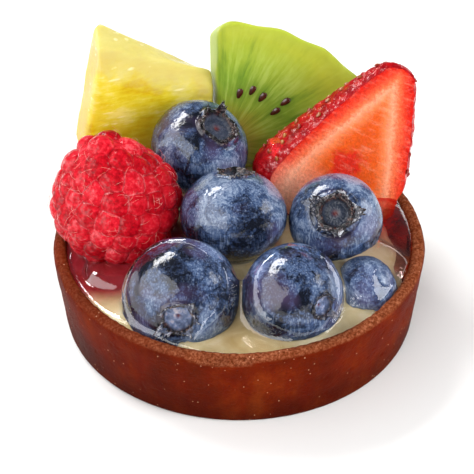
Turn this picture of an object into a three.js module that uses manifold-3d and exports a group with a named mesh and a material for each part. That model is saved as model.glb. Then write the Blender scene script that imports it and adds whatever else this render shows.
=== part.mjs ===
// Individual fruit tart: a straight-sided chocolate shortcrust shell filled with pastry cream and
// topped with whole blueberries, a raspberry, half a strawberry, a kiwi slice and a pineapple wedge.
// Millimetres, +Z up, origin at the centre of the shell's flat base, eating side towards -Y.
import * as THREE from 'three';
import { mergeVertices } from 'three/addons/utils/BufferGeometryUtils.js';
import Module from 'manifold-3d';

const wasm = await Module();
wasm.setup();

// ---- driving dimensions ------------------------------------------------------------------------
const RIM_RADIUS = 32.5;
const BASE_RADIUS = 30.75;
const SHELL_HEIGHT = 15.5;
const WALL = 2.45;
const FLOOR = 2.5;
const SHELL_SEGMENTS = 92;
const GAP = 0.32;

const CREAM_EDGE_HEIGHT = 12.9;
const CREAM_RISE = 1.8;
const CREAM_SEGMENTS = 42;

// centre, equator radius, half height along the crown axis, crown axis
const BERRIES = {
  blueberry_front_left: {
    at: [-9.85, -18.8, 17.95], r: 9.65, c: 8.5, axis: [-0.04, -0.985, 0.16], crown: 0.42,
  },
  blueberry_front_middle: {
    at: [8.85, -18.5, 17.6], r: 8.55, c: 7.9, axis: [0.69, -0.68, 0.26], crown: 0.36,
  },
  blueberry_right: {
    at: [16.6, -2.8, 21.6], r: 8.15, c: 7.2, axis: [-0.05, -0.66, 0.74], crown: 0.44,
  },
  blueberry_centre: {
    at: [-1.0, -2.8, 22.6], r: 9.4, c: 7.9, axis: [0.04, 0.3, 0.95], crown: 0.38,
  },
  blueberry_back: {
    at: [-7.0, 14.3, 24.2], r: 8.9, c: 8.0, axis: [0.46, -0.26, 0.85], crown: 0.42,
  },
  blueberry_small: {
    at: [21.6, -12.55, 14.4], r: 4.85, c: 4.4, axis: [0.32, 0.71, -0.62], crown: 0.4,
  },
};
const BERRY_SEGMENTS = 20;
const CROWN_LOBES = 5;

const RASPBERRY = { at: [-21.3, 0.2, 23.5], r: 9.0, up: 11.0, down: 9.7, lean: [-0.27, 0.04, 0.96] };
const DRUPELET = 2.25;
const DRUPELET_COUNT = 74;

// The axis is given from the tip towards the hulled end; depth is measured behind the cut face.
const STRAWBERRY = {
  face: [16.6, 8.4, 20.5],
  turn: 12,
  lean: 14,
  tip: [13.9, 20.0],
  tilt: 30,
  length: 34,
  shoulder: 24.5,
  depth_ratio: 0.7,
};
const ACHENE_ROWS = 6;

const KIWI = {
  core: [-2.7, 22.4, 18.2],
  turn: 5,
  lean: 8,
  radius: 21.8,
  widest: 25.2,
  thickness: 6.6,
  foot: 6.2,
};
const KIWI_SEEDS = [[2.9, 10.9], [5.2, 11.4], [7.0, 9.9], [11.1, 8.7], [9.3, 6.9]];

const PINEAPPLE = {
  right_foot: [-6.0, 23.1, 11.5],
  turn: 20,
  lean: 4,
  thick_left: 8.6,
  thick_right: 4.8,
};

// ---- shared geometry helpers -------------------------------------------------------------------
const V = (x, y, z) => new THREE.Vector3(x, y, z);
const rad = (degrees) => degrees * Math.PI / 180;

// Smooth repeatable unevenness between about -1 and 1.
function ripple(a, b, c) {
  const slow = Math.sin(a * 1.7 + b * 2.3 + 0.6) + Math.sin(b * 1.9 - c * 2.6 + 1.9);
  const fast = Math.sin(a * 4.3 - c * 3.7 + 2.8) + Math.sin(c * 5.1 + b * 3.9 + 4.4);
  return slow * 0.34 + fast * 0.16;
}

function smooth(edge0, edge1, x) {
  const t = Math.min(1, Math.max(0, (x - edge0) / (edge1 - edge0)));
  return t * t * (3 - 2 * t);
}

// Weld vertices, drop collapsed triangles and turn the surface outwards.
function welded(geometry) {
  geometry.deleteAttribute('normal');
  geometry.deleteAttribute('uv');
  const merged = mergeVertices(geometry, 1e-4);
  const p = merged.attributes.position;
  const kept = [];
  let volume = 0;
  for (let i = 0; i < merged.index.count; i += 3) {
    const [a, b, c] = [0, 1, 2].map((k) => merged.index.getX(i + k));
    if (a === b || b === c || a === c) {
      continue;
    }
    const [A, B, C] = [a, b, c].map((k) => V(p.getX(k), p.getY(k), p.getZ(k)));
    volume += A.dot(B.cross(C)) / 6;
    kept.push(a, b, c);
  }
  if (volume < 0) {
    kept.reverse();
  }
  merged.setIndex(kept);
  return merged;
}

function toManifold(geometry) {
  const g = welded(geometry);
  const mesh = new wasm.Mesh({
    numProp: 3,
    vertProperties: new Float32Array(g.attributes.position.array),
    triVerts: new Uint32Array(g.index.array),
  });
  return new wasm.Manifold(mesh);
}

function fromManifold(body) {
  const mesh = body.getMesh();
  const g = new THREE.BufferGeometry();
  g.setAttribute('position', new THREE.BufferAttribute(new Float32Array(mesh.vertProperties), 3));
  g.setIndex(Array.from(mesh.triVerts));
  return g;
}

// Move every vertex with a function of its position.
function warp(geometry, move) {
  const p = geometry.attributes.position;
  for (let i = 0; i < p.count; i += 1) {
    const q = move(V(p.getX(i), p.getY(i), p.getZ(i)));
    p.setXYZ(i, q.x, q.y, q.z);
  }
  return geometry;
}

// Turned solid about +Z from [radius, height] pairs that start and end on the axis.
function turned(profile, segments) {
  const g = new THREE.LatheGeometry(profile.map(([r, z]) => new THREE.Vector2(r, z)), segments);
  g.rotateX(Math.PI / 2);
  return g;
}

// Right-handed axes of an upright slice: along its face, up its face, and out of its face to -Y.
function sliceAxes(turn, lean) {
  const [ct, st] = [Math.cos(rad(turn)), Math.sin(rad(turn))];
  const [cl, sl] = [Math.cos(rad(lean)), Math.sin(rad(lean))];
  return { along: V(ct, st, 0), up: V(-st * sl, ct * sl, cl), out: V(st * cl, -ct * cl, sl) };
}

function place(origin, axes, h, v, n) {
  const q = V(...origin);
  q.addScaledVector(axes.along, h);
  q.addScaledVector(axes.up, v);
  q.addScaledVector(axes.out, n);
  return q;
}

function uprightTo(axis) {
  return new THREE.Quaternion().setFromUnitVectors(V(0, 0, 1), V(...axis).normalize());
}

// Box from -1 to 1 with edge loops close to its borders, so that a warp can round them.
function looped([nx, ny, nz], [ex, ey, ez]) {
  const g = new THREE.BoxGeometry(2, 2, 2, nx, ny, nz);
  const ease = (t, n, edge) => {
    const end = 1 - 2 / n;
    return Math.abs(t) > end + 1e-6 ? Math.sign(t) : t / end * (1 - edge);
  };
  return warp(g, (q) => V(ease(q.x, nx, ex), ease(q.y, ny, ey), ease(q.z, nz, ez)));
}

// ---- shell -------------------------------------------------------------------------------------
// The front shoulder of the rim has broken away between these two angles.
function chipAt(angle) {
  const inside = smooth(-107, -102, angle) * (1 - smooth(-90, -85, angle));
  return inside * (0.75 + 0.45 * Math.sin(angle * 1.9));
}

function shellGeometry() {
  const inner = RIM_RADIUS - WALL;
  const profile = [
    [0, 0], [BASE_RADIUS - 0.7, 0], [BASE_RADIUS - 0.2, 0.2], [BASE_RADIUS, 0.75],
    [BASE_RADIUS + 0.55, 5.2], [BASE_RADIUS + 1.15, 10.2], [RIM_RADIUS, SHELL_HEIGHT - 1.1],
    [RIM_RADIUS - 0.3, SHELL_HEIGHT - 0.35], [RIM_RADIUS - 0.95, SHELL_HEIGHT],
    [inner + 0.6, SHELL_HEIGHT - 0.03], [inner + 0.12, SHELL_HEIGHT - 0.45],
    [inner, SHELL_HEIGHT - 1.3], [inner - 0.35, 9.0], [inner - 0.9, FLOOR + 0.9],
    [inner - 1.6, FLOOR], [0, FLOOR],
  ];
  return warp(turned(profile, SHELL_SEGMENTS), (q) => {
    const angle = Math.atan2(q.y, q.x);
    const height = q.z / SHELL_HEIGHT;
    const radius = Math.hypot(q.x, q.y);
    const wall = smooth(0.05, 0.3, height) * smooth(20, 29, radius);
    const outer = smooth(inner + 0.8, RIM_RADIUS - 0.8, radius);
    const high = smooth(SHELL_HEIGHT - 2, SHELL_HEIGHT - 0.6, q.z);
    const chip = chipAt(angle * 180 / Math.PI) * outer * high;
    const wave = 0.13 * ripple(2 * Math.cos(angle), 2 * Math.sin(angle), height * 2) * wall;
    const crumb = 0.07 * ripple(9 * Math.cos(angle), 9 * Math.sin(angle), height * 5) * wall * outer;
    const rise = 0.22 * ripple(3 * Math.cos(angle), 3 * Math.sin(angle), 1.4) * smooth(0.85, 1, height);
    const scale = (radius + wave + crumb - 0.7 * chip) / Math.max(radius, 1e-6);
    return V(q.x * scale, q.y * scale, q.z + rise - 1.05 * chip);
  });
}

// ---- blueberries -------------------------------------------------------------------------------
// Oblate berry: the sepal scars stand up round a sunk disc at the +Z end.
function berryProfile(r, c, extra) {
  const rows = [[0, -c - extra]];
  for (const latitude of [-66, -44, -22, 0, 20, 38, 54]) {
    const a = rad(latitude);
    rows.push([(r + extra) * Math.cos(a), (c + extra) * Math.sin(a)]);
  }
  return rows;
}

function berryGeometry({ at, r, c, axis, crown }) {
  const rows = berryProfile(r, c, 0);
  const rim = crown * r;
  rows.push([rim * 1.12, c * 0.91], [rim * 0.9, c * 0.985], [rim * 0.7, c * 0.93]);
  rows.push([rim * 0.52, c * 0.81], [0, c * 0.77]);
  const segments = r < 6 ? 15 : BERRY_SEGMENTS;
  const lobed = warp(turned(rows, segments), (q) => {
    const radius = Math.hypot(q.x, q.y);
    const angle = Math.atan2(q.y, q.x);
    const lobe = 0.5 + 0.5 * Math.cos(CROWN_LOBES * angle);
    const onCrown = smooth(c * 0.9, c * 0.98, q.z) * smooth(rim * 0.5, rim * 0.8, radius);
    const swell = 1 + 0.012 * ripple(q.x / r * 2, q.y / r * 2, q.z / r * 2 + at[0]) - 0.006;
    const spread = 1 + 0.12 * onCrown * (lobe - 0.5);
    return V(q.x * swell * spread, q.y * swell * spread, q.z * swell + 0.5 * onCrown * (lobe - 0.4));
  });
  lobed.applyQuaternion(uprightTo(axis));
  lobed.translate(...at);
  return lobed;
}

function berryPocket({ at, r, c, axis, crown }) {
  const rows = berryProfile(r, c, GAP + 0.2);
  rows.push([r * crown * 1.15, c + 0.55 + GAP], [0, c + 0.55 + GAP]);
  const g = turned(rows, 15);
  g.applyQuaternion(uprightTo(axis));
  g.translate(...at);
  return g;
}

// ---- raspberry ---------------------------------------------------------------------------------
// Ovoid that carries the drupelets: blunt at the foot, drawn in towards the tip.
function raspberryCore(direction) {
  const { r, up, down } = RASPBERRY;
  const along = direction.z > 0 ? up : down;
  const level = Math.hypot(direction.x, direction.y);
  const taper = 1 - 0.2 * smooth(0.1, 0.9, direction.z);
  return 1 / Math.hypot(level / (r * taper), direction.z / along);
}

// Drupelet centres wind round the core at an even spacing.
function drupelets() {
  const found = [];
  for (let i = 0; i < DRUPELET_COUNT; i += 1) {
    const z = 1 - 2 * (i + 0.5) / DRUPELET_COUNT;
    const angle = i * Math.PI * (3 - Math.sqrt(5));
    const level = Math.sqrt(1 - z * z);
    const direction = V(level * Math.cos(angle), level * Math.sin(angle), z);
    const wander = V(ripple(i, 2, 5), ripple(3, i, 1), ripple(6, 4, i)).multiplyScalar(0.05);
    direction.add(wander).normalize();
    const size = DRUPELET * (1 + 0.1 * ripple(i * 1.3, i * 0.7, 2) - 0.12 * smooth(0.75, 1, z));
    found.push({ at: direction.clone().multiplyScalar(raspberryCore(direction)), size });
  }
  return found;
}

function raspberrySurface(direction, grains, extra) {
  let reach = raspberryCore(direction);
  for (const { at, size } of grains) {
    const along = direction.dot(at);
    const inside = along * along - at.lengthSq() + (size + extra) ** 2;
    if (along > 0 && inside > 0) {
      reach = Math.max(reach, along + Math.sqrt(inside));
    }
  }
  return reach;
}

function raspberryGeometry(detail, extra) {
  const grains = drupelets();
  const g = new THREE.IcosahedronGeometry(1, detail);
  warp(g, (q) => q.multiplyScalar(raspberrySurface(q.clone(), grains, extra)));
  g.applyQuaternion(uprightTo(RASPBERRY.lean));
  g.translate(...RASPBERRY.at);
  return g;
}

// ---- strawberry half ---------------------------------------------------------------------------
// Radius of the whole fruit at a distance from its tip.
function strawberryRadius(s) {
  const flank = 2.9 + 0.565 * s - 0.0044 * s * s;
  const tip = Math.sqrt(Math.max(0, 1 - (1 - Math.min(1, s / 1.7)) ** 2));
  const past = Math.max(0, s - STRAWBERRY.shoulder) / (STRAWBERRY.length - STRAWBERRY.shoulder);
  return flank * tip * Math.sqrt(Math.max(0, 1 - past * past));
}

// A point of the skin at an angle round the fruit; the axis sinks behind the cut face.
function strawberryPoint(s, angle, extra) {
  const b = STRAWBERRY;
  const end = s <= 0 || s >= b.length;
  const bump = 0.14 * ripple(s * 0.5, Math.cos(angle) * 5, Math.sin(angle) * 5);
  const radius = end ? 0 : strawberryRadius(s) + bump + extra;
  const across = radius * Math.cos(angle) - 0.75;
  const depth = radius * Math.sin(angle) * b.depth_ratio - 1.4 - 0.14 * Math.min(s, 26);
  const along = s + (s <= 0 ? -extra : 0) + (s >= b.length ? extra : 0);
  const [ct, st] = [Math.cos(rad(b.tilt)), Math.sin(rad(b.tilt))];
  const h = b.tip[0] - along * st + across * ct;
  const v = b.tip[1] - along * ct - across * st;
  return place(b.face, sliceAxes(b.turn, b.lean), h, v, depth);
}

function strawberryBody(rings, segments, extra) {
  const profile = [[0, 0]];
  for (let i = 0; i <= rings; i += 1) {
    const t = i / rings;
    profile.push([1, STRAWBERRY.length * (0.006 + 0.988 * (t - 0.1 * Math.sin(2 * Math.PI * t)))]);
  }
  profile.push([0, STRAWBERRY.length]);
  return warp(turned(profile, segments), (q) => {
    return strawberryPoint(q.z, Math.atan2(q.y, q.x), extra);
  });
}

// Everything in front of the cut face.
function strawberryCut(extra) {
  const s = STRAWBERRY;
  const axes = sliceAxes(s.turn, s.lean);
  const g = new THREE.BoxGeometry(80, 80, 20);
  warp(g, (q) => place(s.face, axes, q.x, q.y, q.z + 10 + extra));
  return toManifold(g);
}

// Seed grains sit proud of the skin in staggered rows.
function achenes() {
  let grains = null;
  for (let row = 0; row < ACHENE_ROWS; row += 1) {
    const s = 1.2 + 24 * row / ACHENE_ROWS;
    const count = Math.max(6, Math.round(strawberryRadius(s) * 1.05));
    for (let i = 0; i < count; i += 1) {
      const angle = (i + (row % 2) / 2) / count * 2 * Math.PI;
      const at = strawberryPoint(s, angle, 0.12);
      if (at.z < SHELL_HEIGHT + 2.2) {
        continue;
      }
      const grain = new THREE.OctahedronGeometry(1, 0);
      grain.scale(0.42, 0.42, 0.62);
      grain.translate(at.x, at.y, at.z);
      const solid = toManifold(grain);
      grains = grains ? grains.add(solid) : solid;
    }
  }
  return grains;
}

function strawberryGeometry(rim) {
  const body = toManifold(strawberryBody(12, 26, 0)).add(achenes());
  return fromManifold(body.subtract(strawberryCut(0)).subtract(rim));
}

function strawberryPocket() {
  return toManifold(strawberryBody(9, 20, GAP + 0.8)).subtract(strawberryCut(GAP));
}

// ---- kiwi slice --------------------------------------------------------------------------------
// Outline of the half slice round its core: bumpy outside, flat hidden foot.
function kiwiReach(angle) {
  const sector = KIWI.radius + 6.4 * Math.max(0, 1 - Math.sin(angle)) ** 1.2;
  const bump = 0.25 * Math.cos(18 * (angle - 1.46)) - 1.4 * smooth(1.5, 1.57, angle);
  const whole = Math.min(sector, KIWI.widest) + bump;
  const down = Math.max(0, -Math.sin(angle));
  const foot = down > 0.01 ? KIWI.foot / down : Infinity;
  const corner = angle < 0 ? 10 / (Math.cos(angle) * 0.395 + down * 0.5) : Infinity;
  return Math.min(whole, foot, corner);
}

// Maps the box section x 0..1, y -1..1 to a half disc without a pole.
function halfDisc(x, y) {
  if (Math.abs(y) <= x) {
    return [x, x > 0 ? Math.PI / 4 * y / x : 0];
  }
  return [Math.abs(y), Math.sign(y) * (Math.PI / 2 - Math.PI / 4 * x / Math.abs(y))];
}

function kiwiPoint(h, v, depth) {
  const axes = sliceAxes(KIWI.turn, KIWI.lean);
  return place(KIWI.core, axes, h, v, -depth);
}

function kiwiBody(extra) {
  const g = looped([8, 16, 3], [0.1, 0.05, 0.24]);
  return warp(g, (q) => {
    const [share, angle] = halfDisc((q.x + 1) / 2, q.y);
    const face = Math.abs(q.z) > 0.99 ? 1 : 0;
    const edge = smooth(0.9, 1, share);
    const radius = share * (kiwiReach(angle) + extra) - 0.5 * face * edge;
    const depth = (1 - q.z) / 2 * KIWI.thickness;
    const slanted = -1.4 * depth / KIWI.thickness * smooth(0.35, 0, (q.x + 1) / 2);
    const inland = (1 - edge) * smooth(0.1, 0.5, share);
    const dish = 0.22 * face * Math.sign(q.z) * ripple(radius * 0.35, angle * 4, 1) * inland;
    const side = q.x < -0.99 ? 0.35 * face - extra : 0;
    const h = radius * Math.cos(angle) + slanted + side;
    return kiwiPoint(h, radius * Math.sin(angle), depth - dish - extra * Math.sign(q.z));
  });
}

function kiwiSeeds() {
  let seeds = null;
  for (const [h, v] of KIWI_SEEDS) {
    const seed = new THREE.OctahedronGeometry(1, 1);
    const turn = Math.atan2(v, h);
    warp(seed, (q) => {
      const point = q.x < 0 ? 1 + 0.35 * q.x : 1;
      const [x, y] = [q.x * 1.25, q.y * 0.62 * point];
      const [ct, st] = [Math.cos(turn), Math.sin(turn)];
      return kiwiPoint(h + x * ct - y * st, v + x * st + y * ct, 0.15 - q.z * 0.48);
    });
    const solid = toManifold(seed);
    seeds = seeds ? seeds.add(solid) : solid;
  }
  return seeds;
}

// ---- pineapple wedge ---------------------------------------------------------------------------
// Outline at a depth share: the left edge leans out, the top falls to the right, and the hidden
// foot is drawn in at its outer corner.
function pineappleFace(x, y, back) {
  const up = (y + 1) / 2;
  const left = -24.7 - 0.4 * back + (6.4 + 1.6 * back) * up + 8.5 * (1 - smooth(0, 0.21, up));
  const right = 1 - 0.6 * (1 - up) + 0.2 * Math.sin(up * 7);
  const h = left + (right - left) * (x + 1) / 2;
  const top = 28.9 + 3.0 * back - (0.384 + 0.26 * back) * (h + 18);
  const foot = 0.4 * Math.sin(x * 4);
  return [h, foot + (top - foot) * up];
}

function pineapplePoint(h, v, depth) {
  const p = PINEAPPLE;
  return place(p.right_foot, sliceAxes(p.turn, p.lean), h, v, -depth);
}

function pineappleBody(extra) {
  const g = looped([9, 11, 4], [0.1, 0.075, 0.25]);
  return warp(g, (q) => {
    const [onX, onY, onZ] = [q.x, q.y, q.z].map((t) => (Math.abs(t) > 0.99 ? Math.sign(t) : 0));
    const corner = Math.abs(onX) + Math.abs(onY) + Math.abs(onZ);
    const [h, v] = pineappleFace(q.x, q.y, (1 - q.z) / 2);
    const share = (q.x + 1) / 2;
    const thick = PINEAPPLE.thick_left + (PINEAPPLE.thick_right - PINEAPPLE.thick_left) * share;
    const fibre = 0.22 * ripple(h * 0.5, v * 0.22, q.z);
    const out = corner > 1 ? extra - 0.4 : extra + fibre;
    const depth = (1 - q.z) / 2 * thick - onZ * out;
    return pineapplePoint(h + onX * out, v + onY * out, depth);
  });
}

// ---- cream -------------------------------------------------------------------------------------
function creamGeometry() {
  const edge = RIM_RADIUS - WALL - GAP - 0.25;
  const foot = FLOOR + GAP;
  const profile = [
    [0, foot], [edge - 1.6, foot], [edge - 0.9, foot + 0.9], [edge - 0.35, 9], [edge - 0.05, 12.0],
    [edge - 0.3, 12.7], [edge - 1.4, 13], [25.5, 13], [21, 13], [16, 13], [11, 13], [5.5, 13], [0, 13],
  ];
  return warp(turned(profile, CREAM_SEGMENTS), (q) => {
    const angle = Math.atan2(q.y, q.x);
    const radius = Math.hypot(q.x, q.y);
    const top = smooth(11.5, 12.8, q.z);
    const mound = CREAM_EDGE_HEIGHT - 13 + CREAM_RISE * (1 - (radius / edge) ** 2);
    const stir = 0.3 * ripple(q.x * 0.16, q.y * 0.16, 2.2);
    const heap = 1.7 * Math.exp(-((q.x + 5) ** 2 + (q.y - 13) ** 2) / 70);
    const bare = 1 - smooth(0.12, 0.3, Math.abs(angle - 0.02));
    const drop = bare * smooth(edge - 3.4, edge - 1, radius) * smooth(8, 12.5, q.z);
    const scale = radius > 1e-6 ? 1 - 1.5 * drop / radius : 1;
    return V(q.x * scale, q.y * scale, q.z + top * (mound + stir + heap) - 2.2 * drop);
  });
}

// ---- assembly ----------------------------------------------------------------------------------
// Room kept clear over the rim, so that what reaches past the wall lies on top of it.
function rimClearance() {
  const inner = RIM_RADIUS - WALL;
  const over = SHELL_HEIGHT + 0.65;
  const profile = [
    [0, -1], [60, -1], [60, over], [inner - 0.4, over],
    [inner - 0.9, SHELL_HEIGHT - 0.6], [inner - 1.6, 8.0], [0, 8.0],
  ];
  return toManifold(turned(profile, SHELL_SEGMENTS));
}

function mesh(name, geometry, colour, roughness) {
  const material = new THREE.MeshStandardMaterial({ color: colour, roughness, metalness: 0 });
  const item = new THREE.Mesh(geometry, material);
  item.name = name;
  return item;
}

function build() {
  const tart = new THREE.Group();
  tart.name = 'fruit_tart';
  tart.add(mesh('shell', welded(shellGeometry()), 0x782c16, 0.7));
  let cream = toManifold(creamGeometry());
  const rim = rimClearance();
  for (const [name, berry] of Object.entries(BERRIES)) {
    tart.add(mesh(name, welded(berryGeometry(berry)), 0x46577f, 0.35));
    cream = cream.subtract(toManifold(berryPocket(berry)));
  }
  tart.add(mesh('raspberry', welded(raspberryGeometry(10, 0)), 0xcd2630, 0.35));
  cream = cream.subtract(toManifold(raspberryGeometry(5, GAP + 0.4)));
  tart.add(mesh('strawberry_half', strawberryGeometry(rim), 0xdb3a28, 0.35));
  cream = cream.subtract(strawberryPocket());
  const kiwi = toManifold(kiwiBody(0)).subtract(rim);
  tart.add(mesh('kiwi_slice', fromManifold(kiwi.add(kiwiSeeds())), 0x9fbb38, 0.35));
  cream = cream.subtract(toManifold(kiwiBody(GAP + 0.15)));
  const pineapple = toManifold(pineappleBody(0)).subtract(rim);
  tart.add(mesh('pineapple_wedge', fromManifold(pineapple), 0xe3c93a, 0.4));
  cream = cream.subtract(toManifold(pineappleBody(GAP + 0.15)));
  tart.add(mesh('cream', fromManifold(cream), 0xe6d6ae, 0.55));
  return tart;
}

export default build();
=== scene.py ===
import math

import bpy
import numpy as np
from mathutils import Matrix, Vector, noise
from mathutils.bvhtree import BVHTree


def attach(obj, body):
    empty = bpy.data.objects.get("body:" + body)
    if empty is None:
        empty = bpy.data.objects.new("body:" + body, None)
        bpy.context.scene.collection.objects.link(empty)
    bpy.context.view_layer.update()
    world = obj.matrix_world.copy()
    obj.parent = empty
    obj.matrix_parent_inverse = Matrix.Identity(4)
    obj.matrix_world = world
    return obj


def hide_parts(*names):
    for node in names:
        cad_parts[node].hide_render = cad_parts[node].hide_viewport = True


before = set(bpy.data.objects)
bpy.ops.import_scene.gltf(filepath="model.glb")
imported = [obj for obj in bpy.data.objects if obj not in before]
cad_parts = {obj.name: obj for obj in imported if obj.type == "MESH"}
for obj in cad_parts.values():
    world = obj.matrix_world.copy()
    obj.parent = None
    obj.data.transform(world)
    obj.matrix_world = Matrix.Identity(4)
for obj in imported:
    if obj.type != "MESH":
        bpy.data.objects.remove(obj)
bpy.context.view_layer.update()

# ---- camera ----
# The tart is looked down on from the front, from some forty degrees above the table, through a
# long lens from arm's length.
CAMERA_AT = (-0.000402, -0.33633, 0.28303)
CAMERA_PITCH = 51.5
CAMERA_LENS = 186.95

camera_data = bpy.data.cameras.new("camera")
camera_data.lens = CAMERA_LENS
camera_data.sensor_width = 36.0
camera_data.clip_start = 0.01
camera = bpy.data.objects.new("camera", camera_data)
camera.location = CAMERA_AT
camera.rotation_euler = (math.radians(CAMERA_PITCH), 0, 0)
bpy.context.scene.collection.objects.link(camera)
bpy.context.scene.camera = camera
bpy.context.scene.view_settings.view_transform = "Standard"

# ---- table and light ----
# A pale matte table top in a light tent. A bright softbox stands behind on the left and a small
# lamp on the right, and wide screens fill from the left and the front. Only mirrored in the wet
# fruit are a reflector down the left side and a small window on the right.
TABLE_SIZE = 7.0
AIM_HEIGHT = 0.02
WORLD_GREY = "585b60"
LAMPS = {
    "softbox": {"from": (-0.46, 0.50, 0.73), "away": 0.9, "size": (0.48, 0.24), "power": 6.4},
    "screen": {"from": (-0.72, -0.25, 0.65), "away": 0.9, "size": (2.2, 1.7), "power": 12.2,
               "mirrored": False},
    "reflector": {"from": (-0.77, -0.42, 0.50), "away": 0.9, "size": (1.7, 1.15), "power": 21.0,
                  "fills": False},
    "side": {"from": (0.82, -0.32, 0.36), "away": 0.9, "size": (0.42, 0.42), "power": 6.7,
             "mirrored": False},
    "window": {"from": (0.88, 0.1, 0.40), "away": 0.9, "size": (0.34, 0.34), "power": 1.5,
               "fills": False},
    "front": {"from": (0.12, -0.80, 0.58), "away": 1.1, "size": (1.2, 0.9), "power": 7.3,
              "mirrored": False},
}


def srgb(code):
    """Linear colour of an sRGB hex value."""
    shares = [int(code[i:i + 2], 16) / 255 for i in (0, 2, 4)]
    linear = [s / 12.92 if s <= 0.04045 else ((s + 0.055) / 1.055) ** 2.4 for s in shares]
    return (*linear, 1.0)


def add(tree, kind, inputs=None, stops=None, **settings):
    """Adds a node with its settings and colour stops. An input is a value, a colour's hex code,
    a socket to link, or a node, which stands for the first of its outputs that is in use."""
    made = tree.nodes.new(kind if "Node" in kind else "ShaderNode" + kind)
    for name, value in settings.items():
        setattr(made, name, value)
    for k, (at, colour) in enumerate(stops or []):
        elements = made.color_ramp.elements
        element = elements[k] if k < 2 else elements.new(at)
        element.position = at
        element.color = srgb(colour) if isinstance(colour, str) else colour
    for name, value in (inputs or {}).items():
        if isinstance(value, bpy.types.Node):
            value = next(socket for socket in value.outputs if socket.enabled)
        if isinstance(value, bpy.types.NodeSocket):
            tree.links.new(value, made.inputs[name])
        else:
            made.inputs[name].default_value = srgb(value) if isinstance(value, str) else value
    return made


def empty_material(name):
    """A material, its empty tree, and the Object coordinates that place its patterns."""
    made = bpy.data.materials.new(name)
    made.use_nodes = True
    made.node_tree.nodes.clear()
    return made, made.node_tree, add(made.node_tree, "TexCoord").outputs["Object"]


def table_laminate():
    """Pale matte laminate: nearly white, with the faintest cloudiness."""
    made, tree, place = empty_material("matte table laminate")
    cloud = add(tree, "TexNoise", {"Vector": place, "Scale": 4})
    tint = add(tree, "Mix", {0: cloud, 6: "f1f0ee", 7: "f6f5f3"}, data_type="RGBA")
    shader = add(tree, "BsdfPrincipled", {
        "Base Color": tint, "Roughness": 0.75, "Specular IOR Level": 0.2})
    add(tree, "OutputMaterial", {"Surface": shader})
    return made


def table_top():
    half = TABLE_SIZE / 2
    mesh = bpy.data.meshes.new("table_top")
    corners = [(-half, -half, 0), (half, -half, 0), (half, half, 0), (-half, half, 0)]
    mesh.from_pydata(corners, [], [(0, 1, 2, 3)])
    mesh.materials.append(table_laminate())
    made = bpy.data.objects.new("table_top", mesh)
    bpy.context.scene.collection.objects.link(made)
    return made


table_top()
for name, lamp in LAMPS.items():
    data = bpy.data.lights.new(name, "AREA")
    data.shape = "RECTANGLE"
    data.size, data.size_y = lamp["size"]
    data.energy = lamp["power"]
    lit = bpy.data.objects.new(name, data)
    lit.visible_glossy = lamp.get("mirrored", True)
    lit.visible_diffuse = lamp.get("fills", True)
    towards = Vector(lamp["from"]).normalized()
    lit.location = towards * lamp["away"] + Vector((0, 0, AIM_HEIGHT))
    lit.rotation_euler = towards.to_track_quat("Z", "Y").to_euler()
    bpy.context.scene.collection.objects.link(lit)

world = bpy.data.worlds.new("light tent")
world.use_nodes = True
world.node_tree.nodes["Background"].inputs["Color"].default_value = srgb(WORLD_GREY)
world.node_tree.nodes["Background"].inputs["Strength"].default_value = 1.0
bpy.context.scene.world = world

# ---- shell ----
# A round case of chocolate shortcrust, pressed into a straight-sided ring and baked blind. Its
# wall is dense and smooth from the ring, its rim is cut and crumbly, with a chip at the front.
MM = 0.001
RIM_RADIUS = 32.5
BASE_RADIUS = 30.75
SHELL_HEIGHT = 15.5
WALL = 2.45
FLOOR = 2.5
INNER = RIM_RADIUS - WALL
SHELL_AROUND = 640
# Steps of the mesh along its profile: out of sight, on the rim and down the wall.
HIDDEN_STEP, RIM_STEP, WALL_STEP = 1.6, 0.15, 0.29
# How a map range eases in and out.
EASED = {"interpolation_type": "SMOOTHSTEP"}
# Unevenness of the pressed wall, of its surface, and of the rim's height.
WALL_WAVE, WALL_CRUMB, RIM_WAVE = 0.13, 0.07, 0.22
# The chip: where it opens, is full, closes and has closed, in degrees round the rim.
CHIP_ANGLES = (-107, -102, -90, -85)
CHIP_INWARD, CHIP_DOWN = 0.7, 1.05


def smooth(low, high, x):
    t = np.clip((np.asarray(x, float) - low) / (high - low), 0, 1)
    return t * t * (3 - 2 * t)


def ripple(a, b, c):
    """Smooth repeatable unevenness between about -1 and 1."""
    slow = np.sin(a * 1.7 + b * 2.3 + 0.6) + np.sin(b * 1.9 - c * 2.6 + 1.9)
    fast = np.sin(a * 4.3 - c * 3.7 + 2.8) + np.sin(c * 5.1 + b * 3.9 + 4.4)
    return slow * 0.34 + fast * 0.16


def grain(points, size, shift=0.0):
    """Noise from about -1 to 1 at points in millimetres, with lumps of the given size."""
    scaled = (points.reshape(-1, 3) / size + shift).tolist()
    found = np.fromiter((noise.noise(p) for p in scaled), float, len(scaled))
    return found.reshape(points.shape[:-1])


def tube_faces(rows, around):
    """Quads between closed rings, with a fan to a pole at either end: the last two points."""
    i, j = np.meshgrid(np.arange(rows - 1), np.arange(around), indexing="ij")
    beside = (j + 1) % around
    quads = np.stack([i * around + j, i * around + beside,
                      (i + 1) * around + beside, (i + 1) * around + j], -1).reshape(-1, 4)
    j = np.arange(around)
    beside = (j + 1) % around
    first, last = rows * around, rows * around + 1
    top = (rows - 1) * around
    start = np.stack([np.full(around, first), beside, j], -1)
    end = np.stack([np.full(around, last), top + j, top + beside], -1)
    return quads.tolist() + start.tolist() + end.tolist()


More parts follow.
